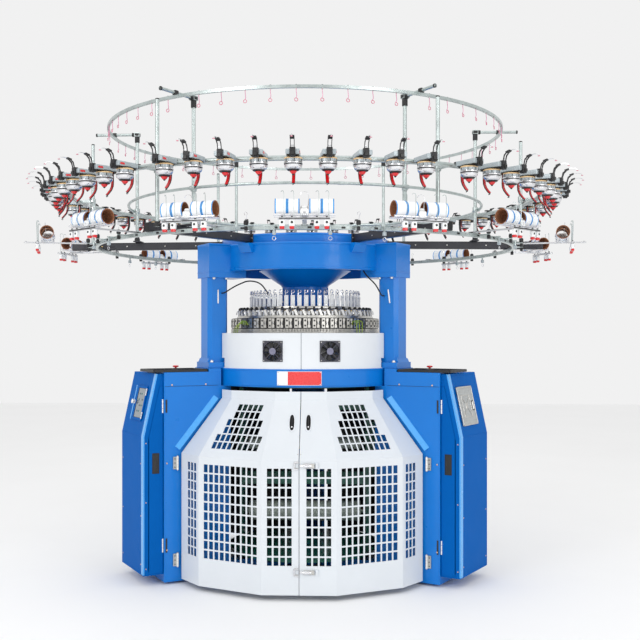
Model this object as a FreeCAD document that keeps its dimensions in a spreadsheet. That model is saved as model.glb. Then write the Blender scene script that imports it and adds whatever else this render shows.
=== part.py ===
import FreeCAD, Part
import math, os, re
import Sketcher
from FreeCAD import Vector as V, Placement, Rotation

# Circular double knitting machine, millimetres, +Z up, origin on the floor under the
# machine axis.  The front of the machine looks along -Y.  Azimuth az is counted from
# the front (-Y) towards +X.

doc = FreeCAD.newDocument("knitting_machine")
sheet = doc.addObject("Spreadsheet::Sheet", "Dims")
DIMS = [
    ("leg_az", 60, "azimuth of the front legs and columns"),
    ("leg_r_in", 560, "leg, inner face"), ("leg_r_out", 975, "leg, outer face"),
    ("leg_step", 622, "leg, step that carries the bed"), ("leg_pad", 700, "leg, outer edge of the raised pad under the column"),
    ("leg_half", 112, "leg, half width"), ("leg_wall", 16, "leg, wall"),
    ("leg_bottom", 15, "leg, underside"), ("leg_seat", 1140, "leg, seat of the bed"),
    ("leg_top", 1224, "leg, top"),
    ("foot_rad", 42, "levelling foot, radius"),
    ("hub_rad", 130, "base spider hub, radius"), ("spider_top", 80, "base spider, top"),
    ("hub_top", 109.5, "base spider hub, top"), ("spider_half", 50, "spider arm, half width"),
    ("bed_r_in", 470, "bed ring, bore radius"), ("bed_r_out", 612, "bed ring, outer radius"),
    ("bed_top", 1243, "bed ring, top"),
    ("col_r_in", 560, "column, inner face"), ("col_r_out", 684, "column, outer face"),
    ("col_half", 72, "column, half width"), ("col_top", 1782, "column, top"),
    ("flange_top", 1300, "column foot flange, top"), ("flange_half", 94, "foot flange, half width"),
    ("cast_r", 560, "top casting, rim radius"), ("cast_low", 1822, "top casting, rim underside"),
    ("cast_mid", 1978, "top casting, rim top"), ("cap_r", 520, "top casting, cap radius"),
    ("cap_top", 2033, "top casting, cap top"), ("cast_wall", 25, "top casting, wall"),
    ("block_half", 92, "casting block over a column, half width"),
    ("block_r_in", 452, "casting block, inner face"), ("block_r_out", 690, "casting block, outer face"),
    ("cone_r_big", 285, "cone, large radius"), ("cone_r_neck", 140, "neck, radius"),
    ("cone_z_big", 1840, "cone, upper end"), ("cone_z_neck", 1743, "cone, lower end"),
    ("dialcap_r", 330, "dial cam plate, radius"), ("dialcap_z", 1600, "dial cam plate, underside"),
    ("dialcap_top", 1612, "dial cam plate, top"), ("shaft_bore", 66, "bore for the dial shaft"),
    ("cam_r_in", 386, "cam box ring, bore"), ("cam_r_out", 459, "cam box ring, outer radius"),
    ("cam_z0", 1460, "cam box, underside"), ("cam_z1", 1540, "cam box, top"),
    ("riser_r", 470, "cam riser, outer radius"),
    ("cyl_r", 381, "needle cylinder, outer radius"), ("cyl_r_in", 345, "needle cylinder, bore"),
    ("cyl_top", 1556, "needle cylinder, top"),
    ("dial_r", 376, "dial, radius"), ("dial_z", 1562, "dial, underside"), ("dial_top", 1580, "dial, top"),
    ("dial_shaft", 55, "dial shaft, radius"),
    ("feeds", 54, "number of yarn feeds"),
    ("cover_r", 606, "skirt cover, outer radius"), ("cover_top", 1451, "skirt cover, top"),
    ("cover_sheet", 3, "skirt cover, sheet"), ("cover_end", 52.6, "skirt cover, end azimuth"),
    ("fan_size", 119, "fan frame, side"), ("fan_deep", 25, "fan frame, depth"),
    ("fan_az", 15.8, "fan azimuth"), ("fan_z", 1346, "fan centre height"), ("fan_bore", 56, "fan bore radius"),
    ("door_r", 887, "guard door, apothem of the outer face"), ("door_turn", 26, "angle between door facets"),
    ("door_bottom", 30, "guard door, lower edge"), ("door_fold", 758, "guard door, fold height"),
    ("door_neck_z", 1069, "guard door, upper fold height"), ("door_neck_r", 635, "guard door, collar apothem"),
    ("door_top", 1118, "guard door, upper edge"), ("door_sheet", 3, "guard door, sheet"),
    ("door_gap", 130, "guard door edge to the leg's mid-plane"),
    ("hole_w", 26.5, "perforation, width"), ("hole_tall", 45, "perforation, height"),
    ("hole_pitch_z", 53.5, "perforation pitch, vertical"), ("hole_z0", 212, "lowest perforation, centre"),
    ("hinge_off", 121, "door hinge axis to the leg's mid-plane"), ("hinge_r", 898, "door hinge axis, along the leg"),
    ("hinge_rad", 6.5, "door hinge barrel, radius"),
    ("cab_r_in", 905, "cabinet, inner face beside the leg"), ("cab_r_out", 1095, "cabinet, outer face"),
    ("cab_lo", 95, "cabinet, front face to the leg's mid-plane"), ("cab_hi", 310, "cabinet, rear face to the mid-plane"),
    ("cab_bottom", 60, "cabinet, underside"), ("cab_top", 1216, "cabinet, top"),
    ("cab_knee", 856, "cabinet, foot of the sloping face"), ("cab_lean", 80, "cabinet, lean of the sloping face"),
    ("cab_sheet", 4, "cabinet, sheet"),
    ("arm_wide", 40, "support arm, width"), ("arm_tall", 47, "support arm, height"), ("arm_z", 1986.5, "support arm, underside"),
    ("post_rad", 10.5, "creel post, radius"), ("post_in_r", 1074, "inner post circle"), ("post_out_r", 1360, "outer post circle"),
    ("post_in_top", 2707, "inner post, top"), ("post_out_top", 2657, "outer post, top"),
    ("topring_r", 1220, "top ring, mean radius"), ("topring_z", 2691, "top ring, underside"),
    ("midring_r", 1099, "middle ring, mean radius"), ("midring_z", 2231, "middle ring, height"),
    ("feedring_r", 1450, "feeder ring, mean radius"), ("feedring_z", 2294, "feeder ring, height"), ("feedring_rad", 13, "feeder ring, tube radius"),
    ("pot_r", 1528, "feeder wheel circle"), ("pot_rad", 45, "feeder wheel, radius"),
    ("elring_r", 1290, "elastane ring, mean radius"), ("elring_z", 1966, "elastane ring, underside"),
    ("bob_r", 1575, "elastane tube circle"), ("bob_z", 2040, "elastane tube axis, height"), ("bob_rad", 40, "elastane tube, radius"),
    ("bob_len", 58, "elastane tube, length"), ("rod_rad", 7, "elastane rod, radius"), ("rod_half", 28, "elastane rods, half distance"),
    ("rod_len", 290, "elastane rod, length"),
    ("roll_rad", 35, "take-down roller, radius"), ("roll_z", 760, "take-down rollers, height"), ("roll_len", 700, "roller length"),
    ("cloth_rad", 62, "cloth roll, radius"), ("cloth_z", 330, "cloth roll, height"),
]
ROW = {}
for i, (alias, value, note) in enumerate(DIMS):
    sheet.set("A%d" % (i + 1), note)
    sheet.set("B%d" % (i + 1), str(value))
    sheet.setAlias("B%d" % (i + 1), alias)
    ROW[alias] = i + 1
doc.recompute()


def d(alias):
    return float(sheet.get(alias))


def ex(text):
    # expression text with every alias turned into a reference to the sheet
    return re.sub(r"[a-z][a-z_0-9]*", lambda m: "Dims." + m.group(0) if m.group(0) in ROW else m.group(0), str(text))


def number_of(text):
    # arithmetic of + and - over aliases and numbers, with optional * and /
    text = str(text)
    total, sign = 0.0, 1
    for tok in re.findall(r"[+-]|[^+-]+", text.replace(" ", "")):
        if tok == "+":
            sign = 1
        elif tok == "-":
            sign = -1
        else:
            val = 1.0
            op = "*"
            for part in re.findall(r"[*/]|[^*/]+", tok):
                if part in "*/":
                    op = part
                else:
                    num = d(part) if part in ROW else float(part)
                    val = val * num if op == "*" else val / num
            total += sign * val
            sign = 1
    return total


NODES = {}


def turn(az, x=0, y=0, z=0):
    # placement whose local +X points outward at azimuth az
    return Placement(V(0, 0, 0), Rotation(V(0, 0, 1), az - 90)).multiply(Placement(V(x, y, z), Rotation()))


def plane(body, role):
    for o in body.Origin.OriginFeatures:
        if o.Role == role:
            return o


def sketch(body, role, loops, offset=None):
    sk = body.newObject("Sketcher::SketchObject", body.Name + "_sketch")
    sk.AttachmentSupport = [(plane(body, role), "")]
    sk.MapMode = "FlatFace"
    if offset is not None:
        sk.AttachmentOffset = Placement(V(0, 0, number_of(offset)), Rotation())
        sk.setExpression("AttachmentOffset.Base.z", ex(offset))
    for loop in loops:
        n = len(loop)
        base = sk.GeometryCount
        pts = [(number_of(a), number_of(b)) for a, b in loop]
        for i in range(n):
            sk.addGeometry(Part.LineSegment(V(pts[i][0], pts[i][1], 0), V(pts[(i + 1) % n][0], pts[(i + 1) % n][1], 0)), False)
        for i in range(n):
            sk.addConstraint(Sketcher.Constraint("Coincident", base + i, 2, base + (i + 1) % n, 1))
        for i in range(n):
            for kind, k in (("DistanceX", 0), ("DistanceY", 1)):
                c = sk.addConstraint(Sketcher.Constraint(kind, -1, 1, base + i, 1, pts[i][k]))
                sk.setExpression("Constraints[%d]" % c, ex(loop[i][k]))
    return sk


def new_body(label):
    body = doc.addObject("PartDesign::Body", label)
    body.Label = label
    NODES[label] = body
    return body


def revolve(label, loop, angle="360", az=90):
    body = new_body(label)
    sk = sketch(body, "XZ_Plane", [loop])
    rv = body.newObject("PartDesign::Revolution", label + "_rev")
    rv.Profile = sk
    rv.ReferenceAxis = (sk, ["V_Axis"])
    rv.Midplane = True
    rv.setExpression("Angle", ex(angle))
    body.Tip = rv
    body.Placement = turn(az)
    return body, sk


def pad(body, role, loops, length, offset=None, cut=False, tag="pad"):
    sk = sketch(body, role, loops, offset)
    ft = body.newObject("PartDesign::Pocket" if cut else "PartDesign::Pad", body.Label + "_" + tag)
    ft.Profile = sk
    ft.Midplane = True
    ft.setExpression("Length", ex(length))
    body.Tip = ft
    return sk, ft


def polar(body, feature, sk, count):
    pat = body.newObject("PartDesign::PolarPattern", body.Label + "_pattern")
    pat.Originals = [feature]
    pat.Axis = (sk, ["V_Axis"])
    pat.Angle = 360
    pat.setExpression("Occurrences", ex(count))
    body.Tip = pat
    return pat


def group(label, shapes, az=None):
    ob = doc.addObject("Part::Feature", label)
    ob.Label = label
    shape = shapes[0] if len(shapes) == 1 else Part.makeCompound(shapes)
    place = shape.Placement
    ob.Shape = shape
    ob.Placement = turn(az) if az is not None else place
    NODES[label] = ob
    return ob


def box(x0, x1, y0, y1, z0, z1):
    return Part.makeBox(x1 - x0, y1 - y0, z1 - z0, V(x0, y0, z0))


def cyl(r, h, p, axis=(0, 0, 1)):
    return Part.makeCylinder(r, h, V(*p), V(*axis))


def put(shape, az):
    s = shape.copy()
    s.Placement = turn(az).multiply(s.Placement)
    return s


def ringtube(R, r, z):
    return Part.makeTorus(R, r, V(0, 0, z), V(0, 0, 1))


def prism(pts, x0, x1, axis="y"):
    # polygon in the radial-vertical plane, pulled along the tangent
    if axis == "y":
        w = Part.makePolygon([V(a, x0, b) for a, b in pts] + [V(pts[0][0], x0, pts[0][1])])
        return Part.Face(w).extrude(V(0, x1 - x0, 0))
    w = Part.makePolygon([V(a, b, x0) for a, b in pts] + [V(pts[0][0], pts[0][1], x0)])
    return Part.Face(w).extrude(V(0, 0, x1 - x0))


# ---------------------------------------------------------------- base and legs
for name, az in (("leg_left", -60), ("leg_right", 60), ("leg_rear", 180)):
    body = new_body(name)
    pad(body, "XZ_Plane", [[("leg_r_in", "leg_bottom"), ("leg_r_out", "leg_bottom"), ("leg_r_out", "leg_top"),
                            ("leg_pad", "leg_top"), ("leg_pad", "bed_top"), ("leg_step", "bed_top"), ("leg_step", "leg_seat"), ("leg_r_in", "leg_seat")]], "leg_half * 2")
    pad(body, "XZ_Plane", [[("leg_r_in - 5", "leg_bottom + leg_wall"), ("leg_r_out - leg_wall", "leg_bottom + leg_wall"),
                            ("leg_r_out - leg_wall", "leg_seat - leg_wall"), ("leg_r_in - 5", "leg_seat - leg_wall")]],
        "leg_half * 2 - leg_wall * 2", cut=True, tag="hollow")
    body.Placement = turn(az)

spider = new_body("base_spider")
sk0 = sketch(spider, "XZ_Plane", [[("20", "leg_bottom"), ("hub_rad", "leg_bottom"), ("hub_rad", "hub_top"), ("20", "hub_top")]])
rv = spider.newObject("PartDesign::Revolution", "base_spider_rev")
rv.Profile = sk0
rv.ReferenceAxis = (sk0, ["V_Axis"])
rv.Angle = 360
spider.Tip = rv
sk1, arm = pad(spider, "XZ_Plane", [[("hub_rad - 20", "leg_bottom"), ("leg_r_in", "leg_bottom"), ("leg_r_in", "spider_top"), ("hub_rad - 20", "spider_top")]],
               "spider_half * 2", tag="arm")
polar(spider, arm, sk1, "3")
spider.Placement = turn(60)

feet = []
for az in (-60, 60, 180):
    for r in (650, 900):
        pin = cyl(d("foot_rad"), 9, (r, 0, 0)).fuse(cyl(14, 15, (r, 0, 0)))
        feet.append(put(pin, az))
group("levelling_feet", feet)

# ---------------------------------------------------------------- bed, columns, top casting
revolve("bed_ring", [("bed_r_in", "leg_seat"), ("bed_r_out", "leg_seat"), ("bed_r_out", "bed_top"), ("bed_r_in", "bed_top")])

cols, bolts = [], []
for az in (-60, 60, 180):
    a, b, w = d("col_r_in"), d("col_r_out"), d("col_half")
    c = prism([(a, -w + 14), (a + 14, -w), (b - 22, -w), (b, -w + 22), (b, w - 22), (b - 22, w), (a + 14, w), (a, w - 14)], d("bed_top"), d("col_top"), "z")
    fl = box(a - 6, b + 10, -d("flange_half"), d("flange_half"), d("bed_top"), d("flange_top") - 22)
    fl2 = prism([(a - 6, d("flange_top") - 22), (b + 10, d("flange_top") - 22), (b, d("flange_top")), (a, d("flange_top"))], -d("col_half") + 0.0, d("col_half"))
    cols.append(put(c.fuse([fl, fl2]).removeSplitter(), az))
    for t in (-83, 83):
        for r in (579, 669):
            bolts.append(put(cyl(10, 14, (r, t, d("flange_top") - 22)), az))
    for t in (-52, 52):
        bolts.append(put(cyl(9, 8, (b, t * 0.72, 1762), (1, 0, 0)), az))
    bolts.append(put(box(b, b + 4, -12, 12, 1640, 1712), az))
group("columns", cols)
group("column_bolts", bolts)

cast, csk = revolve("top_casting", [("cast_r - cast_wall", "cast_low"), ("cast_r", "cast_low"), ("cast_r", "cast_mid"), ("cap_r", "cast_mid"),
                                    ("cap_r", "cap_top"), ("shaft_bore", "cap_top"), ("shaft_bore", "cap_top - cast_wall"),
                                    ("cap_r - cast_wall", "cap_top - cast_wall"), ("cap_r - cast_wall", "cast_mid - cast_wall"),
                                    ("cast_r - cast_wall", "cast_mid - cast_wall")], az=60)
bsk, blk = pad(cast, "XZ_Plane", [[("block_r_in", "col_top"), ("block_r_out", "col_top"), ("block_r_out", "cast_mid + 3"), ("block_r_in", "cast_mid + 3")]],
               "block_half * 2", tag="block")
polar(cast, blk, bsk, "3")

revolve("centre_cone", [("shaft_bore", "dialcap_z"), ("dialcap_r", "dialcap_z"), ("dialcap_r", "dialcap_top"), ("cone_r_neck", "dialcap_top"),
                        ("cone_r_neck", "cone_z_neck"), ("cone_r_big", "cone_z_big"), ("cone_r_big", "cap_top - cast_wall"),
                        ("cone_r_big - 23", "cap_top - cast_wall"), ("cone_r_big - 23", "cone_z_big + 10"), ("cone_r_neck - 10", "cone_z_neck + 19"),
                        ("shaft_bore", "cone_z_neck + 19")])

# ---------------------------------------------------------------- knitting head
revolve("cam_box_ring", [("riser_r - 15", "bed_top"), ("riser_r + 4", "bed_top"), ("riser_r + 4", "bed_top + 19"), ("riser_r", "bed_top + 19"),
                         ("riser_r", "cam_z0 - 20"), ("cam_r_out + 4", "cam_z0 - 20"), ("cam_r_out + 4", "cam_z0"), ("cam_r_out", "cam_z0"), ("cam_r_out", "cam_z1"),
                         ("cam_r_out - 29", "cam_z1"), ("cam_r_out - 29", "cam_z1 + 12"), ("cam_r_in", "cam_z1 + 12"), ("cam_r_in", "cam_z0 - 6"),
                         ("riser_r - 15", "cam_z0 - 6")])
revolve("needle_cylinder", [("cyl_r_in", "1150"), ("450", "1150"), ("450", "1236"), ("cyl_r", "1236"), ("cyl_r", "cyl_top"), ("cyl_r_in", "cyl_top")])
revolve("dial", [("40", "dial_z"), ("dial_r", "dial_z"), ("dial_r", "dial_top"), ("dial_shaft", "dial_top"), ("dial_shaft", "1990"), ("40", "1990")])

n = int(d("feeds"))
R = d("cam_r_out")
plates, blocks, guides = [], [], []
for i in range(n):
    az = (i + 0.5) * 360.0 / n
    plates.append(put(box(R + 0.3, R + 5.3, -20, 3, 1465, 1535), az))
    plates.append(put(box(R + 0.3, R + 7.3, 5, 22, 1468, 1532), az))
    blk = prism([(400, 1557.0), (424, 1557.0), (418, 1608), (396, 1608)], -17, 9)
    blocks.append(put(blk, az))
    blocks.append(put(box(404, 421, 11, 24, 1557.0, 1592), az))
    guides.append(put(box(346, 349, -14, 13, 1613, 1679), az))
    wire = Part.makeTorus(7, 1.6, V(341, 0, 1711), V(1, 0, 0))
    stem = cyl(1.6, 91.2, (341, 0, 1613))
    guides.append(put(wire.fuse(stem), az))
base = Part.makeCylinder(425, 5, V(0, 0, 1552.1)).cut(Part.makeCylinder(386, 6, V(0, 0, 1552)))
group("cam_plates", plates)
group("carrier_ring", [base.fuse(blocks).removeSplitter()])
gb = Part.makeCylinder(353, 13, V(0, 0, 1600)).cut(Part.makeCylinder(330.4, 14, V(0, 0, 1599.5)))
group("yarn_guides", [gb.fuse(guides).removeSplitter()])

# ---------------------------------------------------------------- skirt covers, fans, nameplate
r1, sh = d("cover_r"), d("cover_sheet")
z0, z1 = d("bed_top") + 0.4, d("cover_top")


def arc_solid(r_in, r_out, za, zb, a0, a1):
    w = Part.makePolygon([V(r_in, 0, za), V(r_out, 0, za), V(r_out, 0, zb), V(r_in, 0, zb), V(r_in, 0, za)])
    s = Part.Face(w).revolve(V(0, 0, 0), V(0, 0, 1), a1 - a0)
    s.rotate(V(0, 0, 0), V(0, 0, 1), a0 - 90)
    return s


covers = []
for bay in (0, 120, 240):
    for side in (-1, 1):
        a0, a1 = (0.12, d("cover_end")) if side > 0 else (-d("cover_end"), -0.12)
        s = arc_solid(r1 - sh, r1, z0, z1, bay + a0, bay + a1).fuse(arc_solid(r1 - 26, r1 - sh + 0.2, z1 - sh, z1, bay + a0, bay + a1))
        ends = (d("cover_end") - 2.6, d("cover_end") + 1) if side > 0 else (-d("cover_end") - 1, -d("cover_end") + 2.6)
        s = s.cut(arc_solid(r1 - 60, r1 + 30, z0 - 5, d("flange_top") + 4, bay + ends[0], bay + ends[1]))
        if bay == 0:
            g = d("fan_size") / 2 + 1
            s = s.cut(put(box(r1 - 60, r1 + 40, -g, g, d("fan_z") - g, d("fan_z") + g), side * d("fan_az")))
        covers.append(s)
group("skirt_covers", covers)

f0, fz, fb, fs = 583.0, d("fan_z"), d("fan_bore"), d("fan_size") / 2
frames = []
for side in (-1, 1):
    fr = box(f0, f0 + d("fan_deep"), -fs, fs, fz - fs, fz + fs).cut(cyl(fb, 60, (f0 - 5, 0, fz), (1, 0, 0)))
    for k in range(4):
        st = box(f0, f0 + 3, -fb - 3, fb + 3, fz - 3, fz + 3)
        st.rotate(V(f0, 0, fz), V(1, 0, 0), 45 + 90 * k)
        fr = fr.fuse(st)
    fr = fr.fuse(cyl(20, 4, (f0, 0, fz), (1, 0, 0))).removeSplitter()
    frames.append(put(fr, side * d("fan_az")))
    hub = cyl(19, 17, (f0 + 4.6, 0, fz), (1, 0, 0))
    for k in range(7):
        bl = box(f0 + 10.8, f0 + 13.8, 15, fb - 3, fz - 13, fz + 13)
        bl.rotate(V(f0 + 12.3, 30, fz), V(0, 1, 0), 28)
        bl.rotate(V(f0, 0, fz), V(1, 0, 0), 360.0 / 7 * k)
        hub = hub.fuse(bl)
    group("fan_rotor_left" if side < 0 else "fan_rotor_right", [put(hub, side * d("fan_az"))])
group("fan_frames", frames)

rb = d("bed_r_out")
npl = arc_solid(rb + 0.3, rb + 2.3, 1152, 1232, -13.0, 11.0)
group("nameplate", [npl])

# ---------------------------------------------------------------- guard doors
ap, tn, sheet_t = d("door_r"), d("door_turn"), d("door_sheet")
zb, zf, zn, zt, rn = d("door_bottom"), d("door_fold"), d("door_neck_z"), d("door_top"), d("door_neck_r")
slope = math.atan2(ap - rn, zn - zf)
kx = sheet_t / math.cos(slope)
sect = [(ap, zb), (ap, zf), (rn, zn), (rn, zt), (rn - sheet_t, zt), (rn - sheet_t, zn - 1.2), (ap - sheet_t, zf - 1.2), (ap - sheet_t, zb)]


def wedge(a0, a1, zlo=0, zhi=1300, rad=2400):
    p = [V(0, 0, zlo)] + [V(rad * math.sin(math.radians(a)), -rad * math.cos(math.radians(a)), zlo) for a in (a0, (a0 + a1) / 2.0, a1)]
    return Part.Face(Part.makePolygon(p + [p[0]])).extrude(V(0, 0, zhi - zlo))


def facet(az, a0, a1, cols_t, rows, slope_rows=None):
    f = put(prism(sect, -700, 700), az).common(wedge(a0, a1))
    holes = []
    hw, hh = d("hole_w") / 2, d("hole_tall") / 2
    for t in cols_t:
        for k in range(rows):
            zc = d("hole_z0") + k * d("hole_pitch_z")
            holes.append(put(box(ap - 20, ap + 20, t - hw, t + hw, zc - hh, zc + hh), az))
    if slope_rows:
        L = math.hypot(ap - rn, zn - zf)
        for s_along, ts in slope_rows:
            for t in ts:
                b = box(-20, 20, t - hw, t + hw, -hh, hh)
                b.rotate(V(0, 0, 0), V(0, 1, 0), -math.degrees(slope))
                b.translate(V(ap - (ap - rn) * s_along / L, 0, zf + (zn - zf) * s_along / L))
                holes.append(put(b, az))
    if holes:
        f = f.cut(Part.makeCompound(holes))
    return f


def guard(bay, side, pierced, gap=1.2):
    # side +1: from the seam to the right leg; -1: mirrored
    parts = []
    half = ap * math.tan(math.radians(tn / 2))
    spec = [(0, 0, tn / 2), (tn, tn / 2, 1.5 * tn), (2 * tn, 1.5 * tn, 62)]
    c0 = [35.0 + 36.0 * k + 18 for k in range(4)] if pierced else []
    c1 = [-half + 42 + 35.5 * k for k in range(10)] if pierced else []
    c2 = [-half + 40 + 35.5 * k for k in range(3)] if pierced else []
    srows = None
    if pierced:
        srows = []
        for j, (cnt, first) in enumerate(((9, -139.5), (9, -142), (7, -107), (7, -106.5), (5, -69), (5, -71.5))):
            srows.append((80 + 52.5 * j, [first + 34.0 * k for k in range(cnt)]))
    for q, (fa, a0, a1) in enumerate(spec):
        cl = (c0, c1, c2)[q]
        if side < 0:
            cl = [-t for t in cl]
            sr = [(s, [-t for t in ts]) for s, ts in srows] if srows else None
            f = facet(bay - fa, bay - a1, bay - a0, cl, 10, sr if q == 1 else None)
        else:
            f = facet(bay + fa, bay + a0, bay + a1, cl, 10, srows if q == 1 else None)
        parts.append(f)
    s = parts[0].fuse(parts[1:])
    s = s.removeSplitter()
    # trimmed parallel to the leg's side, and at the seam
    s = s.cut(put(box(300, 1400, -d("door_gap") if side > 0 else -500, 500 if side > 0 else d("door_gap"), 0, 1300), bay + side * 60))
    s = s.cut(put(box(300, 1400, -gap if side > 0 else -2, 2 if side > 0 else gap, 0, 1300), bay))
    return s


LATCH_Z = (732, 156)
dl = guard(0, -1, True)
dr = guard(0, 1, True)
hand = {}
pull_t = 46
L = math.hypot(ap - rn, zn - zf)
for side in (-1, 1):
    def onslope(shape):
        s = shape.copy()
        s.rotate(V(0, 0, 0), V(0, 1, 0), -math.degrees(slope))
        s.translate(V(ap - (ap - rn) * 0.62, 0, zf + (zn - zf) * 0.62))
        return put(s, 0)
    hole = onslope(box(-30, 30, side * pull_t - 14, side * pull_t + 14, -53, 53))
    cup = box(-16, 2, side * pull_t - 13.6, side * pull_t + 13.6, -52.6, 52.6).cut(box(-13, 5, side * pull_t - 10, side * pull_t + 10, -49, 49))
    lip = box(0.2, 2, side * pull_t - 19, side * pull_t + 19, -58, 58).cut(box(-1, 5, side * pull_t - 12, side * pull_t + 12, -50, 50))
    grip = box(-8, 0, side * pull_t - 12, side * pull_t + 12, -6, 6)
    hand[side] = (hole, onslope(cup.fuse([lip, grip]).removeSplitter()))
dl = dl.cut(hand[-1][0])
dr = dr.cut(hand[1][0])
pads, levers, pegs = [], [], []
for z in LATCH_Z:
    pads.append(box(91, 103, -ap - 12, -ap + 0.5, z - 16, z + 16))
    pl = box(1.6, 84, -ap - 10, -ap - 5, z - 7, z + 7)
    wide = box(24, 82, -ap - 10, -ap - 5, z - 12, z + 12)
    grip = box(20, 66, -ap - 20, -ap - 9.5, z - 10, z + 10)
    levers.append(pl.fuse([wide, grip, cyl(3.4, 26, (84, -ap - 7.5, z - 13))]).removeSplitter())
    staple = box(-28, -2, -ap - 12, -ap - 0.2, z - 22, z + 22).cut(box(-22, 2, -ap - 14, -ap + 4, z - 15, z + 15))
    pegs.append(staple)
dr = dr.fuse(pads)
group("door_left", [dl])
group("door_right", [dr])
group("door_handle_left", [hand[-1][1]])
group("door_handle_right", [hand[1][1]])
group("latch_strikes", pegs)
group("latch_lever_upper", [levers[0]])
group("latch_lever_lower", [levers[1]])
hinges = []
for side in (-1, 1):
    for z in (140, 700):
        t = -side * d("hinge_off")
        b = cyl(d("hinge_rad"), 80, (d("hinge_r"), t, z - 40))
        leaf = box(d("hinge_r") - 2, d("hinge_r") + 26, min(t, -side * 112), max(t, -side * 112), z - 36, z + 36)
        hinges.append(put(b.fuse(leaf), side * 60))
group("door_hinges", hinges)
rear = []
for bay in (120, 240):
    for side in (-1, 1):
        rear.append(guard(bay, side, False))
group("rear_guards", rear)

# ---------------------------------------------------------------- cabinets
for name, az, sg in (("cabinet_left", -60, -1), ("cabinet_right", 60, 1)):
    body = new_body(name)
    full = "cab_lo + cab_hi"
    pad(body, "XZ_Plane", [[("cab_r_in", "cab_bottom"), ("cab_r_out", "cab_bottom"), ("cab_r_out", "cab_knee"), ("cab_r_out - cab_lean", "cab_top"), ("cab_r_in", "cab_top")]], full)
    # sketch plane offsets run along -Y of the body; the body's middle is at (cab_hi - cab_lo) / 2
    a, b = d("cab_lo"), d("cab_hi")
    mid = (b - a) / 2.0
    # notch beside the leg: local y from -(a+b)/2 to leg_half + 1 - mid
    lo, hi = -(a + b) / 2.0, d("leg_half") + 1 - mid
    off = -(lo - 10 + hi) / 2.0 * sg
    nsk = sketch(body, "XZ_Plane", [[("cab_r_in - 5", "cab_bottom - 5"), ("leg_r_out + 1", "cab_bottom - 5"), ("leg_r_out + 1", "cab_top + 5"), ("cab_r_in - 5", "cab_top + 5")]], offset=str(off))
    pk = body.newObject("PartDesign::Pocket", name + "_notch")
    pk.Profile = nsk
    pk.Midplane = True
    pk.Length = hi - lo + 10
    body.Tip = pk
    # inner space in two steps
    pad(body, "XZ_Plane", [[("leg_r_out + 1 + cab_sheet", "cab_bottom + cab_sheet"), ("cab_r_out - cab_sheet", "cab_bottom + cab_sheet"), ("cab_r_out - cab_sheet", "cab_knee"),
                            ("cab_r_out - cab_lean - cab_sheet", "cab_top - cab_sheet"), ("leg_r_out + 1 + cab_sheet", "cab_top - cab_sheet")]],
        full + " - cab_sheet * 2", cut=True, tag="inside")
    lo2, hi2 = d("leg_half") + 1 + d("cab_sheet") - mid, (a + b) / 2.0 - d("cab_sheet")
    isk = sketch(body, "XZ_Plane", [[("cab_r_in + cab_sheet", "cab_bottom + cab_sheet"), ("leg_r_out + 20", "cab_bottom + cab_sheet"), ("leg_r_out + 20", "cab_top - cab_sheet"), ("cab_r_in + cab_sheet", "cab_top - cab_sheet")]],
                 offset=str(-(lo2 + hi2) / 2.0 * sg))
    pk2 = body.newObject("PartDesign::Pocket", name + "_side_space")
    pk2.Profile = isk
    pk2.Midplane = True
    pk2.Length = hi2 - lo2
    body.Tip = pk2
    # opening behind the narrow front door
    osk = sketch(body, "XZ_Plane", [[("leg_r_out + 14", "cab_bottom + 25"), ("cab_r_out - 14", "cab_bottom + 25"), ("cab_r_out - 14", "cab_knee - 10"), ("leg_r_out + 14", "cab_knee - 10")]],
                 offset=str((a + b) / 2.0 * sg))
    pk3 = body.newObject("PartDesign::Pocket", name + "_door_opening")
    pk3.Profile = osk
    pk3.Midplane = True
    pk3.Length = 12
    body.Tip = pk3
    body.Placement = turn(az, 0, sg * mid, 0)


def local(shape, az, sg):
    # shape drawn for the right side; mirrored for the left
    s = shape if sg > 0 else shape.mirror(V(0, 0, 0), V(0, 1, 0))
    return put(s, az)


lean = math.atan2(d("cab_lean"), d("cab_top") - d("cab_knee"))


def on_cab(shape, along):
    # local x = outward normal, z = up the sloping face, origin on the slope at distance along
    s = shape.copy()
    s.rotate(V(0, 0, 0), V(0, 1, 0), -math.degrees(lean))
    s.translate(V(d("cab_r_out") - math.sin(lean) * along, 0, d("cab_knee") + math.cos(lean) * along))
    return s


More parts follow.
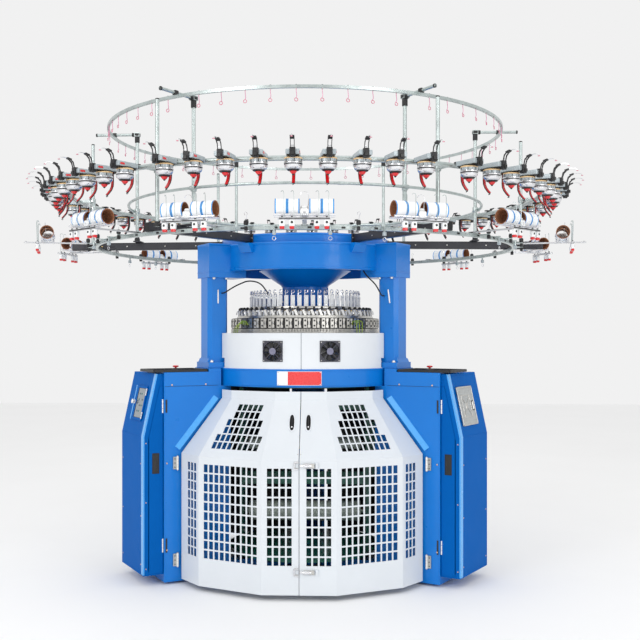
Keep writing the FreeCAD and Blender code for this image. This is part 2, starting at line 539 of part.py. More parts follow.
trays = []
for sg, az, nm in ((-1, -60, "left"), (1, 60, "right")):
    f = -d("cab_lo")
    dz0, dz1 = d("cab_bottom") + 12, d("cab_knee") + 0
    door = prism([(d("leg_r_out") + 6, dz0), (1062, dz0), (1062, dz1), (998, 1143), (d("leg_r_out") + 6, 1143)], f - 4.4, f - 0.4)
    door = door.cut(box(1005, 1041, f - 10, f + 10, 646, 758))
    door = door.fuse([box(1003, 1043, f - 6.4, f - 4.2, 644, 760).cut(box(1007, 1039, f - 10, f, 648, 756)), box(1004, 1042, f - 1.9, f - 0.4, 645, 759)])
    door = door.fuse([cyl(3.6, 80, (d("leg_r_out") + 6, f - 5, zz)) for zz in (187, 990)]).removeSplitter()
    group("cabinet_door_" + nm, [local(door, az, sg)])
    if sg < 0:
        hb = box(0.4, 9, -6, 186, 85, 290).cut(box(5, 12, 8, 172, 100, 275))
        hb = hb.fuse([cyl(9, 14, (9, 165, 190), (1, 0, 0)), box(4, 9, 150, 180, 176, 204)])
        hb = hb.fuse([cyl(3, 42, (9.5, -8, zz)) for zz in (97, 236)]).removeSplitter()
    else:
        hb = box(0.4, 9, -30, 187, 62, 290).cut(box(6, 12, 10, 130, 110, 240)).fuse(box(8.9, 11, 150, 170, 150, 196))
        hb = hb.fuse([cyl(3, 42, (9.5, -32, zz)) for zz in (78, 232)]).removeSplitter()
    group("window_hatch" if sg < 0 else "plate_hatch", [local(on_cab(hb, 0), az, sg)])
    tr = box(706, 1040, -112, 134, d("leg_top") + 1, d("leg_top") + 16).cut(box(714, 1032, -104, 126, d("leg_top") + 5, d("leg_top") + 40))
    base = cyl(21, 16, (880, -40, d("leg_top") + 5))
    base = base.cut(cyl(6.3, 30, (880, -40, d("leg_top") + 9)))
    trays.append(local(tr.fuse(base), az, sg))
    btn = cyl(6.1, 14, (880, -40, d("leg_top") + 13)).fuse(Part.makeCone(9, 17, 5, V(880, -40, d("leg_top") + 27))).fuse(Part.makeCone(17, 11, 6, V(880, -40, d("leg_top") + 32)))
    group("stop_button_" + nm, [local(btn, az, sg)])
group("trays", trays)

# ---------------------------------------------------------------- creel: arms, posts, rings
aw, at, az0 = d("arm_wide") / 2, d("arm_tall"), d("arm_z")
arms, posts, tops = [], [], []
ARMS = [(37, 1320, 32), (-37, 1320, -32), (94, 1515, 91), (-94, 1515, -91), (153, 1400, 150), (-153, 1400, -150)]
for az, rr, pz in ARMS:
    tube = box(520.6, rr, -aw, aw, az0, az0 + at).cut(box(520, rr + 1, -aw + 3, aw - 3, az0 + 3, az0 + at - 3))
    arms.append(put(tube, az))
    # plate that carries the inner post beside the arm
    a1, a2 = math.radians(az), math.radians(pz)
    rp = d("post_in_r")
    p1 = V(rp * math.sin(a2), -rp * math.cos(a2), 0)
    along = V(math.sin(a1), -math.cos(a1), 0)
    foot = along * p1.dot(along)
    side = p1 - foot
    ln = side.Length
    s = Part.makeBox(ln + 36, 46, 8, V(-18, -23, 0))
    ang = math.degrees(math.atan2(side.y, side.x))
    s.rotate(V(0, 0, 0), V(0, 0, 1), ang)
    s.translate(V(foot.x, foot.y, az0 + at))
    arms.append(s)
    posts.append(cyl(d("post_rad"), d("post_in_top") - (az0 + at + 8), (p1.x, p1.y, az0 + at + 8)))
    # elbow and radial arm on top of the inner post
    el = box(rp - 17, rp + 17, -17, 17, d("post_in_top"), d("post_in_top") + 24)
    ra = cyl(9, 266 - 17, (rp + 17, 0, d("post_in_top") + 12), (1, 0, 0))
    clampb = box(d("topring_r") - 12, d("topring_r") + 12, -10, 10, d("post_in_top") + 0.6, d("post_in_top") + 24)
    tops.append(put(el.fuse([ra, clampb]), pz))
    ao = math.radians(pz if abs(pz) != 150 else (149 if pz > 0 else -149))
    ro = d("post_out_r")
    posts.append(cyl(d("post_rad"), d("post_out_top") - 1999, (ro * math.sin(ao), -ro * math.cos(ao), 1999)))
group("support_arms", arms)
group("creel_posts", posts)
group("top_arms", tops)
tr_, tz = d("topring_r"), d("topring_z")
revolve("top_ring", [("topring_r - 8", "topring_z"), ("topring_r + 8", "topring_z"), ("topring_r + 8", "topring_z + 16"), ("topring_r - 8", "topring_z + 16")])

front = [6.2 * k for k in range(-4, 5)]
FEEDS = sorted(front + [s * (34.5 + 6.1 * k) for s in (-1, 1) for k in range(9)] + [s * (95 + 6.15 * k) for s in (-1, 1) for k in range(9)] + [180 + a for a in front])
hooks = []
for az in FEEDS:
    w = cyl(2, 50, (tr_, 0, tz - 50)).fuse(Part.makeTorus(8, 2, V(tr_, 0, tz - 58.5), V(1, 0, 0)))
    hooks.append(put(w, az))
group("eyelet_hooks", hooks)

mids = []
for az, rr, pz in ARMS:
    mids.append(put(box(1085.0, 1097, -7, 7, d("midring_z") - 6, d("midring_z") + 6), pz))
group("middle_ring", [ringtube(d("midring_r"), 8, d("midring_z")).fuse(mids)])
fr_, fz_, fr2 = d("feedring_r"), d("feedring_z"), d("feedring_rad")
fring = []
for az, rr, pz in ARMS:
    pz = pz if abs(pz) != 150 else (149 if pz > 0 else -149)
    fring.append(put(box(d("post_out_r") + 11, fr_ - 3, -9, 9, fz_ - 9, fz_ + 9), pz))
group("feeder_ring", [ringtube(fr_, fr2, fz_).fuse(fring)])

# storage feeders: body with bracket, wheel, lower arm and outer hook
pr = d("pot_r")


def feeder_wheel():
    pts = [(7.4, 2281.6), (42, 2281.6), (42, 2262), (45.5, 2258), (45.5, 2246), (40, 2240), (37, 2228), (24, 2219), (7.4, 2217)]
    w = Part.makePolygon([V(a, 0, b) for a, b in pts] + [V(pts[0][0], 0, pts[0][1])])
    s = Part.Face(w).revolve(V(0, 0, 0), V(0, 0, 1), 360)
    s.translate(V(pr, 0, 0))
    return s


def feeder_body():
    b = box(fr_ + fr2 + 0.4, 1622, -19, 19, 2283, 2313)
    top = box(fr_ - fr2 - 6, fr_ + fr2 + 30, -16, 16, fz_ + fr2 + 0.4, fz_ + fr2 + 9)
    back = box(fr_ + fr2 + 0.4, fr_ + fr2 + 12, -12, 12, 2206, 2284)
    arm = box(-5, 5, -5, 5, 0, 72)
    arm.rotate(V(0, 0, 0), V(0, 1, 0), 128)
    arm.translate(V(fr_ + fr2 + 6, 0, 2210))
    shaft = cyl(7.3, 74, (pr, 0, 2210))
    cone = Part.makeCone(5, 16, 22, V(pr, 0, 2188))
    hook = prism([(1606, 2312.5), (1622, 2312.5), (1632, 2340), (1660, 2356), (1694, 2360), (1694, 2366), (1656, 2364), (1622, 2350)], -9, 9)
    return b.fuse([top, back, arm, shaft, cone, hook])


wheels, fbodies = [], []
fb = feeder_body()
fw = feeder_wheel()
for az in FEEDS:
    fbodies.append(put(fb, az))
    if abs(az) > 0.01:
        wheels.append(put(fw, az))
group("feeder_bodies", fbodies)
group("feeder_wheels", wheels)
group("feeder_wheel_front", [put(fw, 0)])

# ---------------------------------------------------------------- elastane devices
revolve("elastane_ring", [("elring_r - 10", "elring_z"), ("elring_r + 10", "elring_z"), ("elring_r + 10", "elring_z + 20"), ("elring_r - 10", "elring_z + 20")])
ELAST = [2 + a for a in (0, 20.5, -20.5, 44, -44, 77, -77, 103, -103, 136, -136, 159.5, -159.5, 180)]
br, bz, bw = d("bob_r"), d("bob_z"), d("bob_rad")
rz = bz - math.sqrt((bw + d("rod_rad") + 0.3) ** 2 - d("rod_half") ** 2)
brackets, rods, tubes = [], [], []
for az in ELAST:
    bar = box(1276, 1702, -12, 12, 1986.2, 1994)
    nose = cyl(12, 7.8, (1702, 0, 1986.2))
    blk = box(br - 40, br + 40, -21, 21, 1993.9, 2046)
    for sx in (-1, 1):
        blk = blk.cut(cyl(d("rod_rad") + 0.4, 60, (br + sx * d("rod_half"), -30, rz), (0, 1, 0)))
    cross = box(1623, 1637, -125, 125, 1974, 1986.3)
    one = bar.fuse([nose, blk, cross])
    for t in (-104, -58, 58, 104):
        one = one.fuse(box(1619, 1641, t - 14, t + 14, 1930, 1974.2))
        one = one.fuse(cyl(2, 126, (1630, t, 1986)))
    brackets.append(put(one, az))
    for sx in (-1, 1):
        r_ = cyl(d("rod_rad"), d("rod_len"), (br + sx * d("rod_half"), -d("rod_len") / 2, rz), (0, 1, 0))
        if az == 2 and sx == 1:
            frontrod = put(r_, az)
        else:
            rods.append(put(r_, az))
    for t0 in (-22.5 - 2 * d("bob_len") - 0.6, -22.5 - d("bob_len"), 22.5, 22.5 + d("bob_len") + 0.6):
        tb = cyl(bw, d("bob_len"), (br, t0, bz), (0, 1, 0)).cut(cyl(bw - 5, d("bob_len") + 2, (br, t0 - 1, bz), (0, 1, 0)))
        tubes.append(put(tb, az))
for az in (34, -30, 90, -89, 150, -147):
    brackets.append(put(box(1280, 1376, -14, 14, 1986.2, 1999), az))
group("elastane_brackets", brackets)
group("elastane_rods", rods)
group("elastane_rod_front", [frontrod])
group("elastane_tubes", tubes)

# ---------------------------------------------------------------- take-down and drive
rl = d("roll_len") / 2
side_l = []
for sx in (-1, 1):
    p = box(-400 if sx < 0 else 380, -380 if sx < 0 else 400, -150, 150, 130, 1125)
    for y, z, r in ((-39, d("roll_z"), 12.4), (39, d("roll_z"), 12.4), (0, d("cloth_z"), 14.4)):
        p = p.cut(cyl(r, 60, (-420 if sx < 0 else 370, y, z), (1, 0, 0)))
    side_l.append(p)
bottom = Part.makeCylinder(480, 20, V(0, 0, 110)).cut(Part.makeCylinder(60, 22, V(0, 0, 109)))
toprg = Part.makeCylinder(450, 24.8, V(0, 0, 1125)).cut(Part.makeCylinder(330, 30, V(0, 0, 1122)))
bars = [box(-380, 380, y0, y0 + 40, z, z + 40) for y0, z in ((-150, 980), (110, 980), (-150, 520), (110, 520))]
gear = box(400, 455, -110, 110, 560, 900)
tk = side_l[0].fuse([side_l[1], bottom, toprg, gear] + bars).removeSplitter()
group("takedown_frame", [tk])
for nm, y, z, r, j in (("takedown_roller_a", -39, d("roll_z"), d("roll_rad"), 12.35), ("takedown_roller_b", 39, d("roll_z"), d("roll_rad"), 12.35), ("cloth_roller", 0, d("cloth_z"), d("cloth_rad"), 14.35)):
    s = cyl(r, 2 * rl, (-rl, y, z), (1, 0, 0)).fuse(cyl(j, 2 * rl + 92, (-rl - 46, y, z), (1, 0, 0)))
    group(nm, [s])
mot = cyl(95, 300, (1092, 0, 300)).fuse([cyl(60, 40, (1092, 0, 600)), box(975, 1010, -100, 100, 320, 560)])
group("drive_motor", [put(mot, 180)])


# ---------------------------------------------------------------- cables held at both ends
def at(az, u, t, z):
    return turn(az).multVec(V(u, t, z))


def tube(points, rad):
    # straight runs joined by tangent arcs, each as large as its runs allow
    edges, prev = [], points[0]
    length = 0
    for i in range(1, len(points) - 1):
        a, b, c = points[i - 1], points[i], points[i + 1]
        u, w = (a - b).normalize(), (c - b).normalize()
        half = math.acos(max(-1, min(1, u.dot(w)))) / 2
        turn_half = math.pi / 2 - half
        run = min((b - a).Length, (c - b).Length)
        r = 0.45 * run / math.tan(turn_half)
        cut_ = 0.45 * run
        p1, p2 = b + u * cut_, b + w * cut_
        mid = (u + w).normalize()
        centre = b + mid * (r / math.sin(half))
        m = centre - mid * r
        edges.append(Part.LineSegment(prev, p1).toShape())
        edges.append(Part.Arc(p1, m, p2).toShape())
        length += edges[-1].Length + edges[-2].Length
        prev = p2
    edges.append(Part.LineSegment(prev, points[-1]).toShape())
    length += edges[-1].Length
    path = Part.Wire(edges)
    direction = (points[1] - points[0]).normalize()
    prof = Part.Wire([Part.Circle(points[0], direction, rad).toShape()])
    s = path.makePipeShell([prof], True, False)
    if abs(s.Volume - math.pi * rad * rad * length) > 0.02 * s.Volume:
        raise SystemExit("cable volume is off")
    return s


cl = tube([at(-60, 600, 72.1, 1690), at(-60, 600, 112, 1690), at(-58, 560, 138, 1728), V(-330, -322, 1768), V(-262, -262, 1758), V(-215, -205, 1690), V(-208, -196, 1640), V(-208, -196, 1612.1)], 4)
cr = tube([V(330, -335, 1952.9), V(330, -335, 1880), at(60, 505, -130, 1798), at(60, 572, -124, 1738), at(60, 600, -106, 1672), at(60, 600, -72.1, 1672)], 4)
group("cables", [cl, cr])

# ---------------------------------------------------------------- checks and export
doc.recompute()
bad = []
for ob in doc.Objects:
    if any(s in ("Invalid", "Error") for s in ob.State):
        bad.append(ob.Label + " " + str(ob.State))
for name, ob in NODES.items():
    if ob.Shape.isNull() or not ob.Shape.isValid() or not ob.Shape.Solids:
        bad.append(name + " shape")
if bad:
    raise SystemExit("failed: " + "; ".join(bad))
os.makedirs("parts", exist_ok=True)
for name, ob in sorted(NODES.items()):
    ob.Shape.exportStep("parts/%s.step" % name)
    b = ob.Shape.BoundBox
    print("%-22s solids %3d  X %.0f..%.0f Y %.0f..%.0f Z %.0f..%.0f vol %.0f cm3" % (name, len(ob.Shape.Solids), b.XMin, b.XMax, b.YMin, b.YMax, b.ZMin, b.ZMax, ob.Shape.Volume / 1000))
print("nodes", len(NODES))
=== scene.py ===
import bpy, math
from mathutils import Vector, Matrix


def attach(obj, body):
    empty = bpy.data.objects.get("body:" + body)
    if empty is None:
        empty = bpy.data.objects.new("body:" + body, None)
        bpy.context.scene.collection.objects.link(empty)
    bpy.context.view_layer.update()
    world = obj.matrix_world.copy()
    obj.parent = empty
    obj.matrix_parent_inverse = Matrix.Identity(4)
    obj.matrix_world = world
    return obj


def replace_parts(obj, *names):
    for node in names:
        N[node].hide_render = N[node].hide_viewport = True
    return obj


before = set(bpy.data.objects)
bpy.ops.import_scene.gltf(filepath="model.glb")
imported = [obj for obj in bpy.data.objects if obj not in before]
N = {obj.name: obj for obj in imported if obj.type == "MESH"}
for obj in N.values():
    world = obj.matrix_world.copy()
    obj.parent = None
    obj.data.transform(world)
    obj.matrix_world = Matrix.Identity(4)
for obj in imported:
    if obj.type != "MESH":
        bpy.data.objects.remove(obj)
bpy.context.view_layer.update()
rad, sin, cos, pi = math.radians, math.sin, math.cos, math.pi

# ------------------------------------------------------------------ camera and light
sc = bpy.context.scene
cam_data = bpy.data.cameras.new("cam")
cam = bpy.data.objects.new("cam", cam_data)
sc.collection.objects.link(cam)
cam_data.sensor_width = 36
cam_data.lens = 54.0
cam_data.shift_x = 0.0234
cam_data.shift_y = 0.0234
cam.location = (0.2228, -6.0759, 1.440)
cam.rotation_euler = (rad(90), 0, rad(2.1))
cam_data.clip_end = 100
sc.camera = cam


def area(name, loc, target, size, power, color=(1, 1, 1)):
    l = bpy.data.lights.new(name, "AREA")
    l.shape = "RECTANGLE"
    l.size, l.size_y = size
    l.energy = power
    l.color = color
    o = bpy.data.objects.new(name, l)
    sc.collection.objects.link(o)
    o.location = loc
    o.rotation_euler = (Vector(target) - Vector(loc)).to_track_quat("-Z", "Y").to_euler()
    return o


area("key", (-4.2, -6.2, 4.6), (0, 0, 1.4), (2.6, 3.4), 120)
area("fill", (4.6, -6.4, 3.4), (0, 0, 1.2), (2.6, 3.6), 90)
area("top", (0.3, -1.0, 7.5), (0, 0, 1.0), (6, 6), 70)
area("low", (0.0, -7.5, 1.0), (0, 0, 0.9), (5, 1.4), 25)
world = bpy.data.worlds.new("studio")
world.use_nodes = True
bg = world.node_tree.nodes["Background"]
bg.inputs[0].default_value = (1.0, 1.0, 1.0, 1)
bg.inputs[1].default_value = 0.88
sc.world = world
sc.view_settings.view_transform = "Standard"
sc.view_settings.look = "None"


# ------------------------------------------------------------------ materials
def srgb(r, g, b):
    f = lambda c: (c / 255.0) / 12.92 if c / 255.0 <= 0.04045 else ((c / 255.0 + 0.055) / 1.055) ** 2.4
    return (f(r), f(g), f(b))


def material(name, base, rough=0.4, metal=0.0, vary=0.12, scale=6.0, bump=0.02, bscale=300.0, coat=0.0, rvary=0.12,
             stretch=(1, 1, 1), alpha=1.0, transmission=0.0, second=None, spec=0.5, edge=0.0, dist=0.0004):
    m = bpy.data.materials.new(name)
    m.use_nodes = True
    nt = m.node_tree
    nd, lk = nt.nodes, nt.links
    p = nd["Principled BSDF"]
    tc = nd.new("ShaderNodeTexCoord")
    mp = nd.new("ShaderNodeMapping")
    mp.inputs["Scale"].default_value = stretch
    lk.new(tc.outputs["Object"], mp.inputs["Vector"])
    n1 = nd.new("ShaderNodeTexNoise")
    n1.inputs["Scale"].default_value = scale
    n1.inputs["Detail"].default_value = 6
    n1.inputs["Roughness"].default_value = 0.6
    lk.new(mp.outputs["Vector"], n1.inputs["Vector"])
    ramp = nd.new("ShaderNodeValToRGB")
    ramp.color_ramp.elements[0].position = 0.3
    ramp.color_ramp.elements[1].position = 0.72
    dark = tuple(c * (1 - vary) for c in base)
    light = second if second else tuple(min(1, c * (1 + vary * 0.6)) for c in base)
    ramp.color_ramp.elements[0].color = (*dark, 1)
    ramp.color_ramp.elements[1].color = (*light, 1)
    lk.new(n1.outputs["Fac"], ramp.inputs["Fac"])
    lk.new(ramp.outputs["Color"], p.inputs["Base Color"])
    n2 = nd.new("ShaderNodeTexNoise")
    n2.inputs["Scale"].default_value = scale * 5.3
    n2.inputs["Detail"].default_value = 4
    lk.new(mp.outputs["Vector"], n2.inputs["Vector"])
    mr = nd.new("ShaderNodeMapRange")
    mr.inputs["To Min"].default_value = max(0.03, rough - rvary)
    mr.inputs["To Max"].default_value = min(1.0, rough + rvary)
    lk.new(n2.outputs["Fac"], mr.inputs["Value"])
    lk.new(mr.outputs["Result"], p.inputs["Roughness"])
    n3 = nd.new("ShaderNodeTexNoise")
    n3.inputs["Scale"].default_value = bscale
    n3.inputs["Detail"].default_value = 3
    lk.new(mp.outputs["Vector"], n3.inputs["Vector"])
    bm = nd.new("ShaderNodeBump")
    bm.inputs["Strength"].default_value = min(1.0, bump * 10)
    bm.inputs["Distance"].default_value = dist
    lk.new(n3.outputs["Fac"], bm.inputs["Height"])
    lk.new(bm.outputs["Normal"], p.inputs["Normal"])
    p.inputs["Metallic"].default_value = metal
    p.inputs["Specular IOR Level"].default_value = spec
    p.inputs["Coat Weight"].default_value = coat
    p.inputs["Coat Roughness"].default_value = 0.08
    p.inputs["Alpha"].default_value = alpha
    p.inputs["Transmission Weight"].default_value = transmission
    m.diffuse_color = (*base, 1)
    return m


BLUE = srgb(0, 117, 206)
M = {
    "blue": material("blue_gloss_paint", BLUE, 0.3, 0, 0.05, 2.2, 0.05, 55, coat=0.24, rvary=0.06, spec=0.3, dist=0.0006),
    "blue_sheet": material("blue_sheet_paint", srgb(0, 92, 174), 0.56, 0, 0.05, 1.6, 0.03, 160, coat=0.0, rvary=0.05, spec=0.05),
    # lighter, glossier copy of the blue paint: painted highlight on chamfers, folded strips and lips
    "blue_light": material("blue_painted_highlight", srgb(66, 164, 236), 0.26, 0, 0.06, 3, 0.03, 160, coat=0.5, rvary=0.05),
    "white": material("white_cover_paint", srgb(222, 226, 230), 0.38, 0, 0.025, 3.5, 0.04, 420, coat=0.25, rvary=0.06),
    "guard": material("light_grey_powder_coat", srgb(216, 221, 226), 0.46, 0, 0.03, 3.0, 0.06, 620, coat=0.1, rvary=0.07),
    "steel": material("machined_steel", (0.56, 0.55, 0.52), 0.3, 1, 0.16, 30, 0.05, 900, rvary=0.1, stretch=(1, 1, 4)),
    "plate": material("cam_plate_steel", (0.60, 0.585, 0.55), 0.3, 1, 0.07, 60, 0.05, 1400, rvary=0.1, stretch=(1, 1, 5)),
    "dark": material("blackened_steel", (0.045, 0.045, 0.045), 0.38, 0.7, 0.3, 25, 0.05, 700),
    "zinc": material("zinc_plated_tube", (0.50, 0.56, 0.55), 0.3, 0.85, 0.22, 22, 0.06, 500, rvary=0.1),
    "chrome": material("bright_chrome", (0.80, 0.80, 0.82), 0.12, 1, 0.08, 20, 0.02, 600, rvary=0.05),
    "alu": material("cast_aluminium", (0.66, 0.67, 0.69), 0.36, 0.9, 0.16, 40, 0.08, 900),
    "black_paint": material("satin_black_tube", srgb(40, 40, 47), 0.4, 0.1, 0.2, 8, 0.05, 260, coat=0.2),
    "black": material("moulded_black_plastic", srgb(28, 28, 30), 0.45, 0, 0.25, 30, 0.06, 900),
    "frame_grey": material("fan_frame_plastic", srgb(62, 62, 74), 0.42, 0, 0.2, 40, 0.06, 900),
    "red": material("red_plastic", srgb(214, 22, 28), 0.26, 0, 0.12, 20, 0.03, 500, coat=0.5),
    "red_label": material("red_enamel", srgb(226, 22, 26), 0.28, 0, 0.06, 12, 0.02, 300, coat=0.5),
    "pearl": material("white_plastic", srgb(238, 240, 240), 0.3, 0, 0.05, 30, 0.03, 600, coat=0.3),
    "grey_box": material("feeder_grey_housing", srgb(176, 186, 190), 0.35, 0.25, 0.12, 35, 0.05, 700),
    "orange": material("wound_yarn_cream", srgb(236, 178, 112), 0.75, 0, 0.3, 60, 0.3, 1500, second=srgb(250, 226, 180), stretch=(1, 1, 9)),
    "ceramic": material("pink_ceramic_eye", srgb(214, 130, 150), 0.2, 0, 0.1, 50, 0.02, 500, coat=0.5),
    "bob_white": material("tube_white_wrap", srgb(244, 246, 248), 0.42, 0, 0.04, 30, 0.06, 700, coat=0.15),
    "bob_blue": material("tube_blue_band", srgb(30, 150, 226), 0.35, 0, 0.08, 30, 0.04, 700, coat=0.3),
    "card": material("wound_card_tube", srgb(150, 98, 66), 0.8, 0, 0.35, 60, 0.35, 1200, stretch=(3, 3, 1)),
    "glass": material("tinted_glass", srgb(70, 90, 104), 0.08, 0, 0.2, 9, 0.01, 60, coat=1.0, spec=0.8),
    "tray_glass": material("tray_mat", srgb(150, 170, 182), 0.22, 0.2, 0.22, 9, 0.04, 160, coat=0.5),
    "green": material("machine_green_paint", srgb(20, 110, 92), 0.35, 0, 0.15, 8, 0.05, 300, coat=0.3),
    "rust": material("primer_orange", srgb(176, 84, 40), 0.55, 0, 0.2, 20, 0.08, 400),
    "roll": material("pale_roller", srgb(196, 208, 200), 0.4, 0.1, 0.1, 20, 0.06, 300),
    "grey_sheet": material("brushed_grey_sheet", (0.48, 0.50, 0.50), 0.3, 0.9, 0.16, 14, 0.05, 600, stretch=(1, 1, 8)),
    "rubber": material("black_cable_sheath", srgb(22, 22, 24), 0.5, 0, 0.2, 50, 0.06, 900),
    "earth": material("earth_wire_yellow", srgb(214, 224, 30), 0.4, 0, 0.4, 40, 0.04, 600, second=srgb(150, 200, 30)),
    "brass": material("brass_trim", (0.78, 0.56, 0.25), 0.3, 1, 0.15, 40, 0.05, 600),
    "cap_white": material("bright_cap", (0.86, 0.85, 0.82), 0.22, 0.35, 0.08, 30, 0.03, 600, coat=0.5, rvary=0.06),
    # dark blue strip in the gaps between panels: painted shade
    "seam": material("sheet_gap_painted_shade", srgb(30, 52, 78), 0.6, 0, 0.2, 20, 0.03, 300),
    "screw": material("copper_flashed_screw", (0.74, 0.50, 0.34), 0.32, 0.9, 0.2, 40, 0.05, 600),
    "hub_grey": material("grey_hub_plastic", srgb(120, 120, 142), 0.4, 0, 0.12, 40, 0.05, 800),
    "pink_wire": material("pink_coated_wire", srgb(216, 150, 176), 0.35, 0.2, 0.12, 40, 0.03, 600),
    "panel_a": material("key_grey", srgb(150, 158, 162), 0.5, 0, 0.15, 60, 0.03, 600),
    "panel_b": material("key_teal", srgb(40, 110, 110), 0.5, 0, 0.15, 60, 0.03, 600),
    "panel_c": material("key_slate", srgb(70, 84, 98), 0.5, 0, 0.15, 60, 0.03, 600),
    "bluecap": material("blue_connector", srgb(30, 110, 200), 0.4, 0, 0.1, 30, 0.04, 600),
}


# ------------------------------------------------------------------ mesh builder (millimetres)
class Build:
    def __init__(self):
        self.v, self.f, self.m, self.s, self.mats = [], [], [], [], []

    def mi(self, name):
        if name not in self.mats:
            self.mats.append(name)
        return self.mats.index(name)

    def add(self, verts, faces, mat, smooth=False, tf=None):
        o = len(self.v)
        if tf is not None:
            verts = [tuple(tf @ Vector(p)) for p in verts]
        self.v += [tuple(p) for p in verts]
        k = self.mi(mat)
        for fc in faces:
            self.f.append(tuple(o + i for i in fc))
            self.m.append(k)
            self.s.append(smooth)

    def box(self, x0, x1, y0, y1, z0, z1, mat, c=0.8, tf=None):
        c = min(c, abs(x1 - x0) / 2.2, abs(y1 - y0) / 2.2, abs(z1 - z0) / 2.2)
        vs, idx = [], {}
        for sx, X in ((-1, x0), (1, x1)):
            for sy, Y in ((-1, y0), (1, y1)):
                for sz, Z in ((-1, z0), (1, z1)):
                    for a in range(3):
                        p = [X - sx * c, Y - sy * c, Z - sz * c]
                        p[a] = (X, Y, Z)[a]
                        idx[(sx, sy, sz, a)] = len(vs)
                        vs.append(p)
        fs = []
        for a in range(3):
            b, d = (a + 1) % 3, (a + 2) % 3
            for sg in (-1, 1):
                q = []
                for sb, sd in ((-1, -1), (1, -1), (1, 1), (-1, 1)):
                    k = [0, 0, 0]
                    k[a], k[b], k[d] = sg, sb, sd
                    q.append(idx[(k[0], k[1], k[2], a)])
                fs.append(q if sg > 0 else q[::-1])
            for sb in (-1, 1):
                for sd in (-1, 1):
                    k0, k1 = [0, 0, 0], [0, 0, 0]
                    k0[a], k1[a] = -1, 1
                    k0[b] = k1[b] = sb
                    k0[d] = k1[d] = sd
                    q = [idx[(*k0, b)], idx[(*k1, b)], idx[(*k1, d)], idx[(*k0, d)]]
                    fs.append(q if sb * sd < 0 else q[::-1])
        for sx in (-1, 1):
            for sy in (-1, 1):
                for sz in (-1, 1):
                    q = [idx[(sx, sy, sz, a)] for a in range(3)]
                    fs.append(q if sx * sy * sz > 0 else q[::-1])
        self.add(vs, fs, mat, False, tf)

    def lathe(self, prof, n, mat, tf=None, smooth=True, a0=0.0, a1=360.0, mats=None):
        # prof: (r, z) from bottom to top on the outside; closed when first == last
        full = abs(a1 - a0 - 360) < 1e-6
        cnt = n if full else n + 1
        vs = []
        for k in range(cnt):
            a = rad(a0 + (a1 - a0) * k / n)
            for r, z in prof:
                vs.append((r * cos(a), r * sin(a), z))
        L = len(prof)
        for j in range(L - 1):
            fs = []
            for k in range(n):
                k2 = (k + 1) % cnt
                q = [k * L + j, k2 * L + j, k2 * L + j + 1, k * L + j + 1]
                if prof[j][0] < 1e-9:
                    q = [q[0], q[2], q[3]]
                elif prof[j + 1][0] < 1e-9:
                    q = q[:3]
                fs.append(q)
            if j == 0:
                o = len(self.v)
                v2 = [tuple(tf @ Vector(p)) for p in vs] if tf is not None else vs
                self.v += [tuple(p) for p in v2]
            k_ = self.mi(mats[j] if mats else mat)
            for fc in fs:
                self.f.append(tuple(o + i for i in fc))
                self.m.append(k_)
                self.s.append(smooth)

    def tube(self, pts, r, n, mat, caps=True, tf=None, close=False):
        pts = [Vector(p) for p in pts]
        L = len(pts)
        vs, fs = [], []
        up = None
        for i, p in enumerate(pts):
            if close:
                d = (pts[(i + 1) % L] - pts[i - 1]).normalized()
            else:
                d = (pts[min(i + 1, L - 1)] - pts[max(i - 1, 0)]).normalized()
            if up is None:
                up = Vector((0, 0, 1)) if abs(d.z) < 0.9 else Vector((1, 0, 0))
            u = (up - d * up.dot(d)).normalized()
            up = u
            w = d.cross(u)
            rr = r[i] if isinstance(r, (list, tuple)) else r
            for k in range(n):
                a = 2 * pi * k / n
                vs.append(p + u * (rr * cos(a)) + w * (rr * sin(a)))
        for i in range(L if close else L - 1):
            i2 = (i + 1) % L
            for k in range(n):
                k2 = (k + 1) % n
                fs.append((i * n + k, i * n + k2, i2 * n + k2, i2 * n + k))
        self.add(vs, fs, mat, True, tf)
        if caps and not close:
            self.add([vs[k] for k in range(n)], [tuple(range(n))[::-1]], mat, False, tf)
            self.add([vs[(L - 1) * n + k] for k in range(n)], [tuple(range(n))], mat, False, tf)

    def cyl(self, p, axis, r, h, n, mat, c=0.0, tf=None):
        # closed cylinder from p along axis, with a chamfered rim
        ax = Vector(axis).normalized()
        q = Vector((0, 0, 1)).rotation_difference(ax).to_matrix().to_4x4()
        t = Matrix.Translation(Vector(p)) @ q
        if tf is not None:
            t = tf @ t
        prof = [(0, 0), (r - c, 0), (r, c), (r, h - c), (r - c, h), (0, h)] if c > 0 else [(0, 0), (r, 0), (r, h), (0, h)]
        self.lathe(prof, n, mat, t)

    def poly(self, pts, y0, y1, mat, tf=None):
        # polygon in x,z extruded along y
        n = len(pts)
        ar = sum(pts[i][0] * pts[(i + 1) % n][1] - pts[(i + 1) % n][0] * pts[i][1] for i in range(n))
        if ar < 0:
            pts = pts[::-1]
        vs = [(a, y0, b) for a, b in pts] + [(a, y1, b) for a, b in pts]
        fs = [tuple(range(n)), tuple(range(2 * n - 1, n - 1, -1))]
        fs += [(i, n + i, n + (i + 1) % n, (i + 1) % n) for i in range(n)]
        self.add(vs, fs, mat, False, tf)

    def copy_at(self, proto, tf):
        o = len(self.v)
        self.v += [tuple(tf @ Vector(p)) for p in proto.v]
        mm = [self.mi(x) for x in proto.mats]
        for fc, k, s in zip(proto.f, proto.m, proto.s):
            self.f.append(tuple(o + i for i in fc))
            self.m.append(mm[k])
            self.s.append(s)

    def make(self, name, body, slot=None, sharp=32):
        me = bpy.data.meshes.new(name)
        me.from_pydata([(a * 0.001, b * 0.001, c * 0.001) for a, b, c in self.v], [], self.f)
        me.polygons.foreach_set("material_index", self.m)
        me.polygons.foreach_set("use_smooth", self.s)
        for x in self.mats:
            me.materials.append(M[x])
        me.update()
        me.set_sharp_from_angle(angle=rad(sharp))
        ob = bpy.data.objects.new(name, me)
        sc.collection.objects.link(ob)
        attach(ob, body)
        return ob


